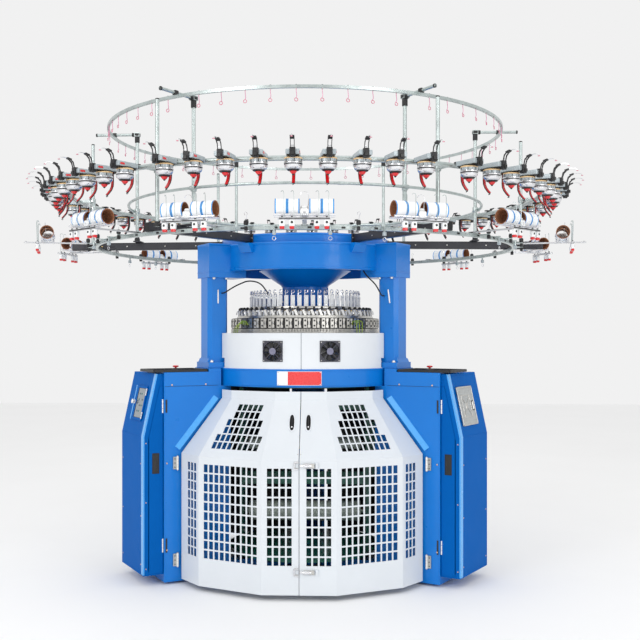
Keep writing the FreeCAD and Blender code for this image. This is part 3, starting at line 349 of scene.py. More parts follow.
def turn(az, x=0.0, y=0.0, z=0.0):
    return Matrix.Rotation(rad(az - 90), 4, "Z") @ Matrix.Translation((x, y, z))


def spin(axis, deg, p=(0, 0, 0)):
    return Matrix.Translation(p) @ Matrix.Rotation(rad(deg), 4, axis) @ Matrix.Translation(-Vector(p))


# ------------------------------------------------------------------ CAD nodes: finish
FINISH = {
    "blue": ["leg_left", "leg_right", "leg_rear", "base_spider", "bed_ring", "columns", "top_casting", "centre_cone"],
    "blue_sheet": ["cabinet_left", "cabinet_right", "cabinet_door_left", "cabinet_door_right"],
    "white": ["skirt_covers"],
    "guard": ["door_left", "door_right", "rear_guards"],
    "steel": ["cam_box_ring", "needle_cylinder", "dial", "column_bolts", "door_hinges", "levelling_feet"],
    "plate": ["cam_plates"],
    "chrome": ["latch_strikes", "latch_lever_upper", "latch_lever_lower", "elastane_rods", "elastane_rod_front"],
    "black": ["carrier_ring", "fan_rotor_left", "fan_rotor_right", "door_handle_left", "door_handle_right"],
    "frame_grey": ["fan_frames"],
    "red_label": ["nameplate"],
    "pearl": ["yarn_guides"],
    "black_paint": ["support_arms", "trays"],
    "zinc": ["creel_posts", "top_arms", "top_ring", "eyelet_hooks", "middle_ring", "feeder_ring", "elastane_ring", "feeder_bodies"],
    "alu": ["feeder_wheels", "feeder_wheel_front", "elastane_brackets"],
    "card": ["elastane_tubes"],
    "glass": ["window_hatch"],
    "grey_sheet": ["plate_hatch"],
    "red": ["stop_button_left", "stop_button_right"],
    "green": ["takedown_frame", "drive_motor"],
    "roll": ["takedown_roller_a", "takedown_roller_b", "cloth_roller"],
    "rubber": ["cables"],
}
for key, names in FINISH.items():
    for nm in names:
        me = N[nm].data
        me.materials.clear()
        me.materials.append(M[key])

# inner faces of the guards get a near-black painted shade: the side is told from the normal and the radial direction
def two_sided(name, outer, inner):
    m = outer.copy()
    m.name = name
    nt = m.node_tree
    nd, lk = nt.nodes, nt.links
    p = nd["Principled BSDF"]
    src = p.inputs["Base Color"].links[0].from_socket
    tc = nd.new("ShaderNodeTexCoord")
    sep = nd.new("ShaderNodeVectorMath")
    sep.operation = "MULTIPLY"
    sep.inputs[1].default_value = (1, 1, 0)
    lk.new(tc.outputs["Object"], sep.inputs[0])
    nrm = nd.new("ShaderNodeVectorMath")
    nrm.operation = "NORMALIZE"
    lk.new(sep.outputs[0], nrm.inputs[0])
    dot = nd.new("ShaderNodeVectorMath")
    dot.operation = "DOT_PRODUCT"
    lk.new(nrm.outputs[0], dot.inputs[0])
    lk.new(tc.outputs["Normal"], dot.inputs[1])
    lt = nd.new("ShaderNodeMath")
    lt.operation = "LESS_THAN"
    lt.inputs[1].default_value = -0.3
    lk.new(dot.outputs["Value"], lt.inputs[0])
    mx = nd.new("ShaderNodeMix")
    mx.data_type = "RGBA"
    mx.inputs[7].default_value = (*inner, 1)
    lk.new(lt.outputs[0], mx.inputs[0])
    lk.new(src, mx.inputs[6])
    lk.new(mx.outputs[2], p.inputs["Base Color"])
    return m


M["guard2"] = two_sided("powder_coat_painted_shade_inside", M["guard"], (0.012, 0.013, 0.015))
for nm in ("door_left", "door_right", "rear_guards"):
    N[nm].data.materials.clear()
    N[nm].data.materials.append(M["guard2"])

AZ_LEGS = (-60, 60, 180)
FEEDS = [6.2 * k for k in range(-4, 5)]
FEEDS = sorted(FEEDS + [s * (34.5 + 6.1 * k) for s in (-1, 1) for k in range(9)] + [s * (95 + 6.15 * k) for s in (-1, 1) for k in range(9)] + [180 + a for a in FEEDS])
PR = 1528.0


# ------------------------------------------------------------------ storage feeders
def feeder_wheel(b):
    t = Matrix.Translation((PR, 0, 0))
    prof = [(7.6, 2218), (25, 2219), (29, 2221.5), (30, 2225), (36, 2229), (41, 2235), (43.6, 2241), (44, 2245.5), (41.6, 2247), (41.6, 2249), (44.8, 2250.5),
            (45.4, 2253), (45.2, 2257), (43, 2259), (41.5, 2260.5), (41.5, 2272), (43.6, 2273), (43.6, 2279), (40, 2281.4), (7.6, 2281.4)]
    mats = ["dark", "dark", "dark", "alu", "chrome", "chrome", "alu", "dark", "dark", "dark", "alu", "chrome", "alu", "alu", "grey_box", "grey_box", "orange", "brass", "dark"]
    b.lathe(prof, 26, "alu", t, mats=mats)
    for k in range(18):
        a = 2 * pi * (k + 0.5) / 18
        p = Matrix.Translation((PR, 0, 0)) @ Matrix.Rotation(a, 4, "Z")
        b.box(40.4, 43.4, -1.5, 1.5, 2260, 2273.4, "dark" if k % 3 == 0 else "alu", 0.4, p)


def feeder_body(b):
    b.box(1464, 1600, -33, 33, 2286.5, 2311, "grey_box", 3)
    b.box(1472, 1592, -28, 28, 2283, 2287, "dark", 0.8)
    b.cyl((PR, 0, 2208), (0, 0, 1), 7, 76, 12, "dark")
    b.box(1588, 1613, -14, 14, 2272, 2317, "black", 2)
    b.box(1600, 1621, -9, 9, 2279, 2296, "dark", 1.5)
    # upright hook: two flat bars, a rung and a black top with a ceramic eye
    for s in (-1, 1):
        b.poly([(1606, 2314), (1611, 2314), (1618, 2338), (1634, 2354), (1632, 2359), (1613, 2343)], s * 9 - 1.6, s * 9 + 1.6, "black")
    b.box(1607, 1612, -10, 10, 2322, 2327, "alu", 0.6)
    b.poly([(1626, 2350), (1646, 2358), (1646, 2365), (1622, 2358)], -11, 11, "black")
    b.tube([(1644, 0, 2361), (1664, 0, 2364), (1684, 0, 2361), (1692, 0, 2354)], 2.0, 6, "chrome")
    b.tube([(1692 + 5 * cos(a), 5 * sin(a), 2350) for a in [2 * pi * k / 10 for k in range(10)]], 1.8, 5, "ceramic", close=True)
    # side lever with a red mark
    b.box(1560, 1588, 33, 35, 2293, 2303, "red", 0.5)
    # clamp on the ring
    b.box(1428, 1470, -14, 14, 2308.6, 2316, "dark", 2)
    b.box(1463.6, 1471, -14, 14, 2279, 2312, "dark", 1)
    b.cyl((1468, 0, 2294), (1, 0, 0), 5, 9, 8, "brass", 0.8)
    # under the wheel: red cone and the bent arm, black behind and red in front
    t = Matrix.Translation((PR, 0, 0))
    b.lathe([(0, 2204), (8, 2204), (11, 2207), (16, 2213), (18, 2217), (0, 2217)], 16, "red", t)
    b.lathe([(0, 2198), (3.5, 2198), (4.5, 2200), (7, 2204.5), (0, 2204.5)], 12, "dark", t)
    path = [(1474, 2284), (1473, 2232), (1475, 2212), (1484, 2192), (1500, 2172), (1510, 2162)]
    for off, mat_, w in ((0, "black", 8), (4, "red", 6.5)):
        pts = []
        for i, (x, z) in enumerate(path):
            a = path[max(i - 1, 0)]
            c = path[min(i + 1, len(path) - 1)]
            d = Vector((c[0] - a[0], 0, c[1] - a[1])).normalized()
            nrm = Vector((-d.z, 0, d.x))
            if nrm.x < 0:
                nrm = -nrm
            pts.append((Vector((x, 0, z)) + nrm * off, nrm))
        vs, fs = [], []
        for p, nrm in pts:
            for yy, k in ((-w, 0), (w, 0), (w, 1), (-w, 1)):
                q = p + nrm * (k * 4.0)
                vs.append((q.x, yy, q.z))
        for i in range(len(pts) - 1):
            for k in range(4):
                fs.append((i * 4 + k, i * 4 + (k + 1) % 4, i * 4 + 4 + (k + 1) % 4, i * 4 + 4 + k))
        fs += [(3, 2, 1, 0), tuple(4 * (len(pts) - 1) + k for k in range(4))]
        b.add(vs, fs, mat_)
    b.tube([(1511 + 4 * cos(a), 4 * sin(a), 2158 + 3 * sin(a)) for a in [2 * pi * k / 10 for k in range(10)]], 1.7, 5, "dark", close=True)


fw, fbp = Build(), Build()
feeder_wheel(fw)
feeder_body(fbp)
allw, front_w = Build(), Build()
bods = [Build(), Build()]
for i, az in enumerate(FEEDS):
    if abs(az) < 0.01:
        front_w.copy_at(fw, turn(az))
    else:
        allw.copy_at(fw, turn(az))
    bods[0 if i < 27 else 1].copy_at(fbp, turn(az))
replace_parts(allw.make("feeder_wheel_set", "frame", "alu"), "feeder_wheels")
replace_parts(front_w.make("feeder_wheel_first", "feeder_wheel_front", "alu"), "feeder_wheel_front")
b0 = bods[0].make("feeder_housings_left", "frame", "black_plastic")
bods[1].make("feeder_housings_right", "frame", "black_plastic")
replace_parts(b0, "feeder_bodies")

# ------------------------------------------------------------------ elastane devices
ELAST = [2 + a for a in (0, 20.5, -20.5, 44, -44, 77, -77, 103, -103, 136, -136, 159.5, -159.5, 180)]
BR, BZ, BW = 1575.0, 2040.0, 40.0
RZ = BZ - math.sqrt((BW + 7.3) ** 2 - 28 ** 2)
tp = Build()
for t0 in (-22.5 - 116.6, -22.5 - 58, 22.5, 22.5 + 58.6):
    t = Matrix.Translation((BR, t0, BZ)) @ Matrix.Rotation(rad(-90), 4, "X")
    tp.lathe([(36, 0), (39.4, 0), (40, 0.6), (40, 6), (40, 52), (40, 57.4), (39.4, 58), (36, 58), (35, 57), (35, 1), (36, 0)], 36, "bob_white", t,
             mats=["card", "card", "bob_blue", "bob_white", "bob_blue", "card", "card", "card", "card", "card"])
dp = Build()
dp.poly([(1276, 1986.4), (1700, 1986.4), (1709, 1988.5), (1709, 1991.5), (1700, 1993.8), (1276, 1993.8)], -11, 11, "alu")
dp.cyl((1700, 0, 1985.9), (0, 0, 1), 12, 8.4, 16, "alu", 1)
dp.cyl((1700, 0, 1993), (0, 0, 1), 6, 4, 8, "dark", 0.8)
dp.box(1281, 1305, -17, 17, 1986.3, 1990, "dark", 1)
dp.box(BR - 39, BR + 39, -20.5, 20.5, 1994, 2030, "pearl", 5)
dp.box(BR - 26, BR + 26, -19, 19, 2029, 2045, "pearl", 6)
dp.cyl((BR + 36, 0, 2012), (1, 0, 0), 6, 5, 12, "chrome", 0.8)
for s in (-1, 1):
    dp.cyl((BR + s * 28, -21.5, RZ), (0, 1, 0), 11, 43, 14, "alu", 1)
dp.tube([(BR + 10, 18, 2044), (BR + 12, 20, 2090), (BR + 14, 14, 2108), (BR + 16, 0, 2111), (BR + 16, -14, 2106), (BR + 16, -19, 2096)], 1.5, 6, "chrome")
dp.box(1624, 1636, -124, 124, 1975, 1986, "alu", 1)
dp.box(1636, 1638.4, -118, 118, 1978, 1983, "black", 0.4)
for t_ in (-104, -58, 58, 104):
    dp.box(1620, 1640, t_ - 13, t_ + 13, 1944, 1974.4, "pearl", 3)
    dp.cyl((1639.2, t_, 1962), (1, 0, 0), 6, 2, 12, "dark", 0.4)
    dp.box(1621, 1639, t_ - 11, t_ + 11, 1931, 1945, "red", 3)
    dp.tube([(1630, t_ + 9, 1976), (1633, t_ + 9, 2060), (1634, t_ + 9, 2098), (1632, t_ + 6, 2108), (1626, t_, 2110), (1622, t_ - 5, 2105)], 1.5, 6, "zinc")
    dp.box(1626, 1634, t_ - 4, t_ + 4, 1986, 1992, "dark", 1)
tubes_b, dev_b = Build(), Build()
for az in ELAST:
    tubes_b.copy_at(tp, turn(az))
    dev_b.copy_at(dp, turn(az))
for az in (34, -30, 90, -89, 150, -147):
    q = Build()
    q.box(1281, 1376, -13, 13, 1986.4, 1999, "dark", 2)
    q.cyl((1290, 0, 1999), (0, 0, 1), 7, 5, 6, "brass")
    dev_b.copy_at(q, turn(az))
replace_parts(tubes_b.make("elastane_tube_set", "frame", "card_tube"), "elastane_tubes")
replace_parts(dev_b.make("elastane_device_set", "frame", "alu"), "elastane_brackets")

# ------------------------------------------------------------------ knitting head
n = 54
cp, cr, yg = Build(), Build(), Build()
R = 459.0
pl, ca, gu = Build(), Build(), Build()
# plate with two bolts, and the plain waisted plate beside it
pl.box(R + 0.1, R + 0.5, -26.6, 26.6, 1444, 1542, "dark", 0.1)
pl.poly([(R + 0.5, 1481), (R + 5.2, 1482), (R + 5.2, 1538), (R + 0.5, 1539)], -18.6, 1.2, "plate")
for z in (1495, 1525):
    pl.cyl((R + 4.2, -8.7, z), (1, 0, 0), 6.8, 1.6, 14, "steel", 0.5)
    pl.cyl((R + 4.8, -8.7, z), (1, 0, 0), 5.6, 2.6, 10, "dark", 0.6)
pts = [(-8.5, -32), (8.5, -32), (8.5, -18), (4.6, -10), (4.6, 10), (8.5, 18), (8.5, 32), (-8.5, 32), (-8.5, 18), (-4.6, 10), (-4.6, -10), (-8.5, -18)]
vs = [(R + 0.5, 13.5 + a, 1510 + c * 0.88) for a, c in pts] + [(R + 7.2, 13.5 + a * 0.94, 1510 + c * 0.86) for a, c in pts]
m_ = len(pts)
pl.add(vs, [tuple(range(m_, 2 * m_))] + [(i, (i + 1) % m_, m_ + (i + 1) % m_, m_ + i) for i in range(m_)], "plate")
pl.cyl((R + 6.2, 13.5, 1510), (1, 0, 0), 4.2, 2, 12, "chrome", 0.6)
pl.cyl((R + 7.6, 13.5, 1510), (1, 0, 0), 2.2, 1, 8, "dark")
for k in range(-3, 3):
    pl.box(R + 1.2, R + 7.6, k * 8.9 + 1.4, k * 8.9 + 7.2, 1453, 1477, "plate", 0.9)
pl.box(R + 0.4, R + 3.4, -26, 27, 1536, 1542, "dark", 0.6)
# carriers: black knob, slanted bright finger, screw
tl = Matrix.Translation((0, -6, 1556)) @ Matrix.Rotation(rad(24), 4, "X")
ca.box(403, 424, -8, 8, -2, 38, "cap_white", 2, tl)
ca.cyl((421.5, 0, 12), (1, 0, 0), 3.6, 2.4, 10, "dark", 0.4, tl)
ca.box(398, 420, -9.5, 3.5, 1590, 1606, "black", 3)
ca.cyl((409, -3, 1604), (0, 0, 1), 6, 5, 10, "black", 1)
ca.box(396, 414, 9, 21, 1556.5, 1584, "alu", 2)
ca.cyl((405, 15, 1583), (0, 0, 1), 4.2, 6, 8, "brass", 0.6)
ca.tube([(418, 2, 1594), (428, 3, 1588), (433, 4, 1578), (434, 4, 1566)], 1.4, 5, "chrome")
ca.box(386, 424.6, -24.8, 24.8, 1552.3, 1556.8, "steel", 0.3)
# vertical guide plates with curled wires
gu.box(346, 349, -13.6, 12.6, 1613, 1679, "pearl", 1)
gu.cyl((348.6, -0.5, 1622), (1, 0, 0), 3.2, 1.6, 8, "chrome", 0.4)
gu.cyl((348.6, -0.5, 1668), (1, 0, 0), 3.2, 1.6, 8, "chrome", 0.4)
gu.box(338, 346, -4, 4, 1613, 1650, "alu", 1)
w = [(341, -9, 1648), (341, -9, 1694)] + [(341 + 0.5 * k, -9 * cos(rad(30 * k)), 1702 + 10 * sin(rad(30 * k))) for k in range(0, 13)]
gu.tube(w, 2.4, 7, "chrome")
for i in range(n):
    az = (i + 0.5) * 360.0 / n
    cp.copy_at(pl, turn(az))
    cr.copy_at(ca, turn(az))
    yg.copy_at(gu, turn(az))
yg.lathe([(330.6, 1600.2), (353, 1600.2), (353, 1606), (351, 1613), (330.6, 1613), (330.6, 1600.2)], 108, "steel")
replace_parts(cp.make("cam_plate_set", "frame", "chrome_steel"), "cam_plates")
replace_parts(cr.make("yarn_carrier_set", "frame", "black_plastic"), "carrier_ring")
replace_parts(yg.make("guide_plate_set", "frame", "white_plastic"), "yarn_guides")

# ------------------------------------------------------------------ nameplate, left blank
npb = Build()


def curved(b, r0, r1, z0, z1, a0, a1, mat, steps):
    vs = []
    for k in range(steps + 1):
        a = rad(a0 + (a1 - a0) * k / steps)
        for rr, zz in ((r0, z0), (r1, z0), (r1, z1), (r0, z1)):
            vs.append((rr * sin(a), -rr * cos(a), zz))
    fs = []
    for k in range(steps):
        for j in range(4):
            fs.append((k * 4 + j, k * 4 + (j + 1) % 4, k * 4 + 4 + (j + 1) % 4, k * 4 + 4 + j))
    fs = [q[::-1] for q in fs]
    fs += [(0, 1, 2, 3), tuple(4 * steps + j for j in (3, 2, 1, 0))]
    b.add(vs, fs, mat, True)


curved(npb, 612.3, 613.8, 1152, 1232, -13.0, 11.0, "pearl", 20)
curved(npb, 613.8, 614.5, 1154, 1230, -7.1, 10.8, "red_label", 16)
for az, z in ((-12.4, 1158), (-12.4, 1226), (10.2, 1158), (10.2, 1226)):
    q = Build()
    q.cyl((613.6, 0, z), (1, 0, 0), 3, 2.0, 10, "chrome", 0.8)
    npb.copy_at(q, turn(az))
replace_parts(npb.make("blank_plate", "frame", "label"), "nameplate")

# ------------------------------------------------------------------ door handles, latches
AP, RN, ZF, ZN = 887.0, 635.0, 758.0, 1069.0
SL = math.atan2(AP - RN, ZN - ZF)


def slope_tf(frac):
    return turn(0) @ Matrix.Translation((AP - (AP - RN) * frac, 0, ZF + (ZN - ZF) * frac)) @ Matrix.Rotation(-SL, 4, "Y")


def oval(b, x0, x1, cy, w, h, mat, tf, n=40, hole=None):
    def ring(k, ww, hh):
        a = 2 * pi * k / n
        c_, s_ = cos(a), sin(a)
        yy = ww * (abs(c_) ** 0.8) * (1 if c_ > 0 else -1)
        zz = hh * (abs(s_) ** 0.8) * (1 if s_ > 0 else -1)
        return yy, zz
    vs, fs = [], []
    for x in (x0, x1):
        for k in range(n):
            y, z = ring(k, w, h)
            vs.append((x, cy + y, z))
    if hole:
        for x in (x1, x0):
            for k in range(n):
                y, z = ring(k, hole[0], hole[1])
                vs.append((x, cy + y, z))
        for L in range(4):
            L2 = (L + 1) % 4
            for k in range(n):
                fs.append((L * n + k, L * n + (k + 1) % n, L2 * n + (k + 1) % n, L2 * n + k))
    else:
        for k in range(n):
            fs.append((k, (k + 1) % n, n + (k + 1) % n, n + k))
        fs += [tuple(range(n))[::-1], tuple(range(n, 2 * n))]
    b.add(vs, fs, mat, True, tf)


for side, nm in ((-1, "left"), (1, "right")):
    hb = Build()
    tf = slope_tf(0.62)
    oval(hb, 0.25, 2.2, side * 46, 20, 62, "guard", tf, hole=(13, 52))
    oval(hb, -13, 1.4, side * 46, 12.8, 51.5, "black", tf, hole=(10.5, 48))
    oval(hb, -14, -12, side * 46, 12.8, 51.5, "black", tf)
    hb.box(-12, 2.6, side * 46 - 8, side * 46 + 8, -40, 46, "black", 6, tf)
    hb.cyl((2.0, side * 46, -30), (1, 0, 0), 4.6, 1.8, 14, "chrome", 0.5, tf)
    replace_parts(hb.make("flush_pull_" + nm, "door_" + nm, "black_plastic"), "door_handle_" + nm)

stb = Build()
for z, nm in ((732, "upper"), (156, "lower")):
    lb = Build()
    y0 = -AP - 10
    # lever: domed grip on a flat tongue, pin at the right-hand end (drawn in x, -y, z)
    pts = []
    lb.box(1.8, 84, y0, y0 + 5, z - 7, z + 7, "chrome", 1.6)
    lb.box(24, 82, y0 - 0.5, y0 + 5, z - 12, z + 12, "steel", 2)
    for s in range(1):
        rings, fs, vs = 9, [], []
        m2 = 14
        for i in range(rings):
            u = i / (rings - 1.0)
            x = 17 + 50 * u
            ww = 10.5 * math.sin(pi * min(1, max(0.0, 0.12 + 0.80 * u))) ** 0.5
            dd = 9.5 * math.sin(pi * min(1, max(0.0, 0.1 + 0.82 * u))) ** 0.5
            for k in range(m2):
                a = pi * k / (m2 - 1)
                vs.append((x, y0 - dd * sin(a), z + ww * cos(a)))
        for i in range(rings - 1):
            for k in range(m2 - 1):
                fs.append((i * m2 + k, (i + 1) * m2 + k, (i + 1) * m2 + k + 1, i * m2 + k + 1))
        fs.append(tuple(range(m2)))
        fs.append(tuple((rings - 1) * m2 + k for k in range(m2))[::-1])
        lb.add(vs, fs, "chrome", True)
    lb.cyl((80.5, y0 + 2.5, z - 13), (0, 0, 1), 3.6, 26, 12, "steel", 0.6)
    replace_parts(lb.make("latch_grip_" + nm, "latch_" + nm, "chrome_steel"), "latch_lever_" + nm)
    stb.tube([(-3, -AP - 7, z + 18), (-12, -AP - 8, z + 18), (-24, -AP - 8, z + 18), (-26, -AP - 8, z + 14), (-26, -AP - 8, z - 14), (-24, -AP - 8, z - 18), (-12, -AP - 8, z - 18), (-3, -AP - 7, z - 18)], 3.4, 10, "chrome")
    stb.box(-27, -4, -AP - 5, -AP - 0.3, z + 12.5, z + 22, "steel", 1.4)
    stb.box(-27, -4, -AP - 5, -AP - 0.3, z - 22, z - 12.5, "steel", 1.4)
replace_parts(stb.make("latch_staple_pair", "door_left", "chrome_steel"), "latch_strikes")

# small screw at the seam of each door
for side, body in ((-1, "door_left"), (1, "door_right")):
    q = Build()
    for z in (790,):
        fr = (z - ZF) / (ZN - ZF)
        q.cyl((0.2, side * 9, 0), (1, 0, 0), 3, 1.2, 10, "steel", 0.4, slope_tf(fr))
    # folded edge along the seam
    q.box(AP - 22, AP - 3.2, side * 2.6 - 1.2 if side > 0 else -3.8, 3.8 if side > 0 else side * 2.6 + 1.2, 34, 752, "guard", 0.5, turn(0))
    q.make("door_seam_edge_" + ("left" if side < 0 else "right"), body, "light_guard")

# ------------------------------------------------------------------ cooling fans
def fan_tf(side):
    return turn(side * 15.8, 0, 0, 1346)


for side, nm in ((-1, "left"), (1, "right")):
    tf = fan_tf(side)
    fb_ = Build()
    fb_.lathe([(0, 588), (17, 588), (19, 590), (19, 601), (17, 603.6), (12, 604.2), (0, 604.2)], 28, "black", tf @ Matrix.Rotation(rad(90), 4, "Y"))
    for k in range(7):
        t2 = tf @ Matrix.Rotation(2 * pi * k / 7, 4, "X")
        vs, fs = [], []
        nr, na = 6, 5
        for th in (0, 1.3):
            for i in range(nr):
                r_ = 18 + 34.5 * i / (nr - 1)
                for j in range(na):
                    a_ = rad(-17 + 36 * j / (na - 1) + 9 * i / (nr - 1))
                    ux = 590.5 + 11 * j / (na - 1) + 1.5 * math.sin(pi * j / (na - 1)) - th
                    vs.append((ux, r_ * cos(a_), r_ * sin(a_)))
        m2 = nr * na
        for i in range(nr - 1):
            for j in range(na - 1):
                q = (i * na + j, (i + 1) * na + j, (i + 1) * na + j + 1, i * na + j + 1)
                fs.append(q)
                fs.append(tuple(m2 + x for x in q[::-1]))
        rim = [i * na for i in range(nr)] + [(nr - 1) * na + j for j in range(1, na)] + [i * na + na - 1 for i in range(nr - 2, -1, -1)] + [j for j in range(na - 2, 0, -1)]
        for a_, b_ in zip(rim, rim[1:] + rim[:1]):
            fs.append((b_, a_, m2 + a_, m2 + b_))
        fb_.add(vs, fs, "black", True, t2)
    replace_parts(fb_.make("fan_impeller_" + nm, "fan_" + nm, "black_plastic"), "fan_rotor_" + nm)
    fr_ = Build()
    t3 = tf @ Matrix.Rotation(rad(90), 4, "Y")
    fr_.lathe([(56.2, 606), (59, 607.2), (59.2, 609), (57.6, 609.4), (56.2, 608.8), (56.2, 606)], 44, "frame_grey", t3)
    fr_.lathe([(0, 605.4), (18, 605.4), (20, 606.2), (20, 608.6), (18.4, 609.2), (8, 609.2), (7, 608.8), (0, 608.8)], 28, "hub_grey", t3)
    for k in range(4):
        t2 = tf @ Matrix.Rotation(rad(45 + 90 * k), 4, "X")
        fr_.box(606, 608.6, 18, 57.5, -2.2, 2.2, "frame_grey", 0.7, t2)
        fr_.box(608, 609.4, 58.5, 62, -9, 9, "frame_grey", 0.5, t2)
        fr_.cyl((607.8, 74.5, 0), (1, 0, 0), 3.4, 2.2, 12, "steel", 0.6, t2)
    for k in range(4):
        t2 = tf @ Matrix.Rotation(rad(90 * k), 4, "X")
        fr_.box(607.9, 609.3, 56.6, 59.6, -58.5, 58.5, "frame_grey", 0.5, t2)
    fr_.make("fan_grille_" + nm, "frame", "black_plastic")

# ------------------------------------------------------------------ columns: cap bolts, slot bars, cast ribs
cb = Build()


def dome_bolt(b, tf, r=9.5, h=12):
    b.lathe([(0, 0), (r, 0), (r, h * 0.55), (r * 0.86, h * 0.8), (r * 0.55, h), (0, h)], 20, "cap_white", tf)
    b.lathe([(0, -0.1), (r * 1.35, -0.1), (r * 1.35, 1.6), (r * 1.2, 2.2), (0, 2.2)], 20, "steel", tf)


for az in AZ_LEGS:
    for t in (-83, 83):
        for r in (579, 669):
            dome_bolt(cb, turn(az) @ Matrix.Translation((r, t, 1278)))
        for r in (575, 655):
            dome_bolt(cb, turn(az) @ Matrix.Translation((r, t * 0.99, 1782)) @ Matrix.Rotation(pi, 4, "X"), 8.5, 11)
    s = 1 if az < 0 else -1
    q = Build()
    if az == -60:
        q.box(621, 629, 72, 75.5, 1628, 1710, "cap_white", 1.4)
    else:
        q.box(-4, 4, -3.5, 0, -41, 41, "cap_white", 1.4, Matrix.Translation((632, -72, 1669)) @ Matrix.Rotation(rad(-8), 4, "Y"))
    cb.copy_at(q, turn(az))
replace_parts(cb.make("column_fasteners", "frame", "steel"), "column_bolts")

cd = Build()
for s in (-1, 1):
    q = Build()
    q.poly([(557, 1976), (602, 1976), (602, 1962), (578, 1924), (557, 1924)], -42, 42, "blue")
    cd.copy_at(q, turn(s * 34.5))
for az in AZ_LEGS:
    q = Build()
    # raised seam and rounded corner ribs of the block, foot fillet of the column
    q.box(688, 692.5, -90, 90, 1812, 1818, "blue", 1)
    for t in (-92, 92):
        q.box(470, 688, t - 1.2, t + 1.2, 1811, 1817, "blue", 0.6)
    q.box(470, 692, -95, 95, 1972, 1984, "blue", 3)
    for t in (-1, 1):
        q.poly([(562, 1300), (682, 1300), (674, 1322), (570, 1322)], t * 60 - 3, t * 60 + 3, "blue")
    q.box(552, 696, -97, 97, 1243.5, 1249, "blue", 1.5)
    cd.copy_at(q, turn(az))
cd.lathe([(560, 1826), (563, 1828), (563, 1836), (560, 1839), (560, 1826)], 120, "blue", smooth=True)
cd.lathe([(560, 1966), (563.5, 1968), (563.5, 1975), (560, 1979.5), (560, 1966)], 120, "blue", smooth=True)
cd.lathe([(520, 2022), (522.5, 2024), (521, 2033.5), (514, 2035.5), (500, 2034), (520, 2022)], 120, "blue", smooth=True)
cd.lathe([(612, 1146), (614, 1148), (614, 1151), (612, 1152), (612, 1146)], 140, "blue", smooth=True)
cd.lathe([(612, 1233), (614, 1234), (614, 1239), (611, 1243.4), (606, 1244.2), (606, 1243), (612, 1233)], 140, "blue", smooth=True)
cd.make("casting_edges", "frame", "cast_blue")

# ------------------------------------------------------------------ skirt cover edges, seam, screws
se = Build()
for bay in (0, 120, 240):
    for side in (-1, 1):
        a0, a1 = (0.3, 52.2) if side > 0 else (-52.2, -0.3)
        curved(se, 605.6, 607.2, 1447, 1451.4, bay + a0, bay + a1, "white", 26)
        curved(se, 605.6, 607.0, 1243.6, 1248, bay + a0, bay + a1, "white", 26)
        for a in (3, 27, 50):
            q = Build()
            q.cyl((592, 0, 1451), (0, 0, 1), 4, 2.2, 12, "steel", 0.6)
            se.copy_at(q, turn(bay + side * a))
    # dark strip at the joint of the two cover panels: painted shade in the gap
    curved(se, 603.2, 606.6, 1244, 1450, bay - 0.12, bay + 0.12, "seam", 1)
se.make("skirt_edges", "frame", "white_sheet")

# ------------------------------------------------------------------ ring under the head: toothed band and earth wires
hd = Build()
hd.lathe([(470.5, 1400), (476, 1400), (476, 1408), (470.5, 1410), (470.5, 1400)], 108, "steel")
hd.lathe([(463, 1440.5), (474, 1440.5), (474, 1443), (463, 1443), (463, 1440.5)], 108, "steel")
q = Build()
q.box(470.6, 477, -9, 9, 1411, 1437, "plate", 1)
q.box(476.4, 478.4, -2.6, 2.6, 1420, 1428, "dark", 0.5)
for i in range(108):
    hd.copy_at(q, turn((i + 0.25) * 360 / 108.0))
for az, s in ((-50, 1), (42, -1), (160, 1), (-160, -1)):
    for k in range(3):
        p = [(520, -34 + 20 * k, 1452), (512, -30 + 22 * k, 1480 + 9 * k), (496, -16 + 18 * k, 1506 + 8 * k), (480, 4 + 16 * k * s, 1508 + 6 * k), (470, 12 + 18 * k * s, 1500)]
        c = []
        for i in range(len(p) - 1):
            for j in range(5):
                u = j / 5.0
                a_, b_, c_, d_ = p[max(i - 1, 0)], p[i], p[i + 1], p[min(i + 2, len(p) - 1)]
                c.append([0.5 * ((2 * b_[m]) + (-a_[m] + c_[m]) * u + (2 * a_[m] - 5 * b_[m] + 4 * c_[m] - d_[m]) * u * u + (-a_[m] + 3 * b_[m] - 3 * c_[m] + d_[m]) * u ** 3) for m in range(3)])
        c.append(list(p[-1]))
        hd.tube(c, 1.9, 6, "earth", tf=turn(az))
hd.make("head_wiring", "frame", "steel")

# ------------------------------------------------------------------ centre neck ring, clamps and sensor blocks
nk = Build()
nk.lathe([(140, 1616), (152, 1616), (154, 1620), (154, 1640), (150, 1644), (140, 1644), (140, 1616)], 60, "blue")
nk.lathe([(140, 1738), (146, 1740), (150, 1746), (140, 1750), (140, 1738)], 60, "blue")
for k in range(9):
    q = Build()
    q.box(139, 147, -6, 6, 1650, 1738, "blue", 2)
    nk.copy_at(q, turn(k * 40 + 8))
nk.lathe([(285, 1838), (289, 1840), (289, 1848), (285, 1850), (285, 1838)], 80, "blue")
nk.make("neck_details", "frame", "cast_blue")
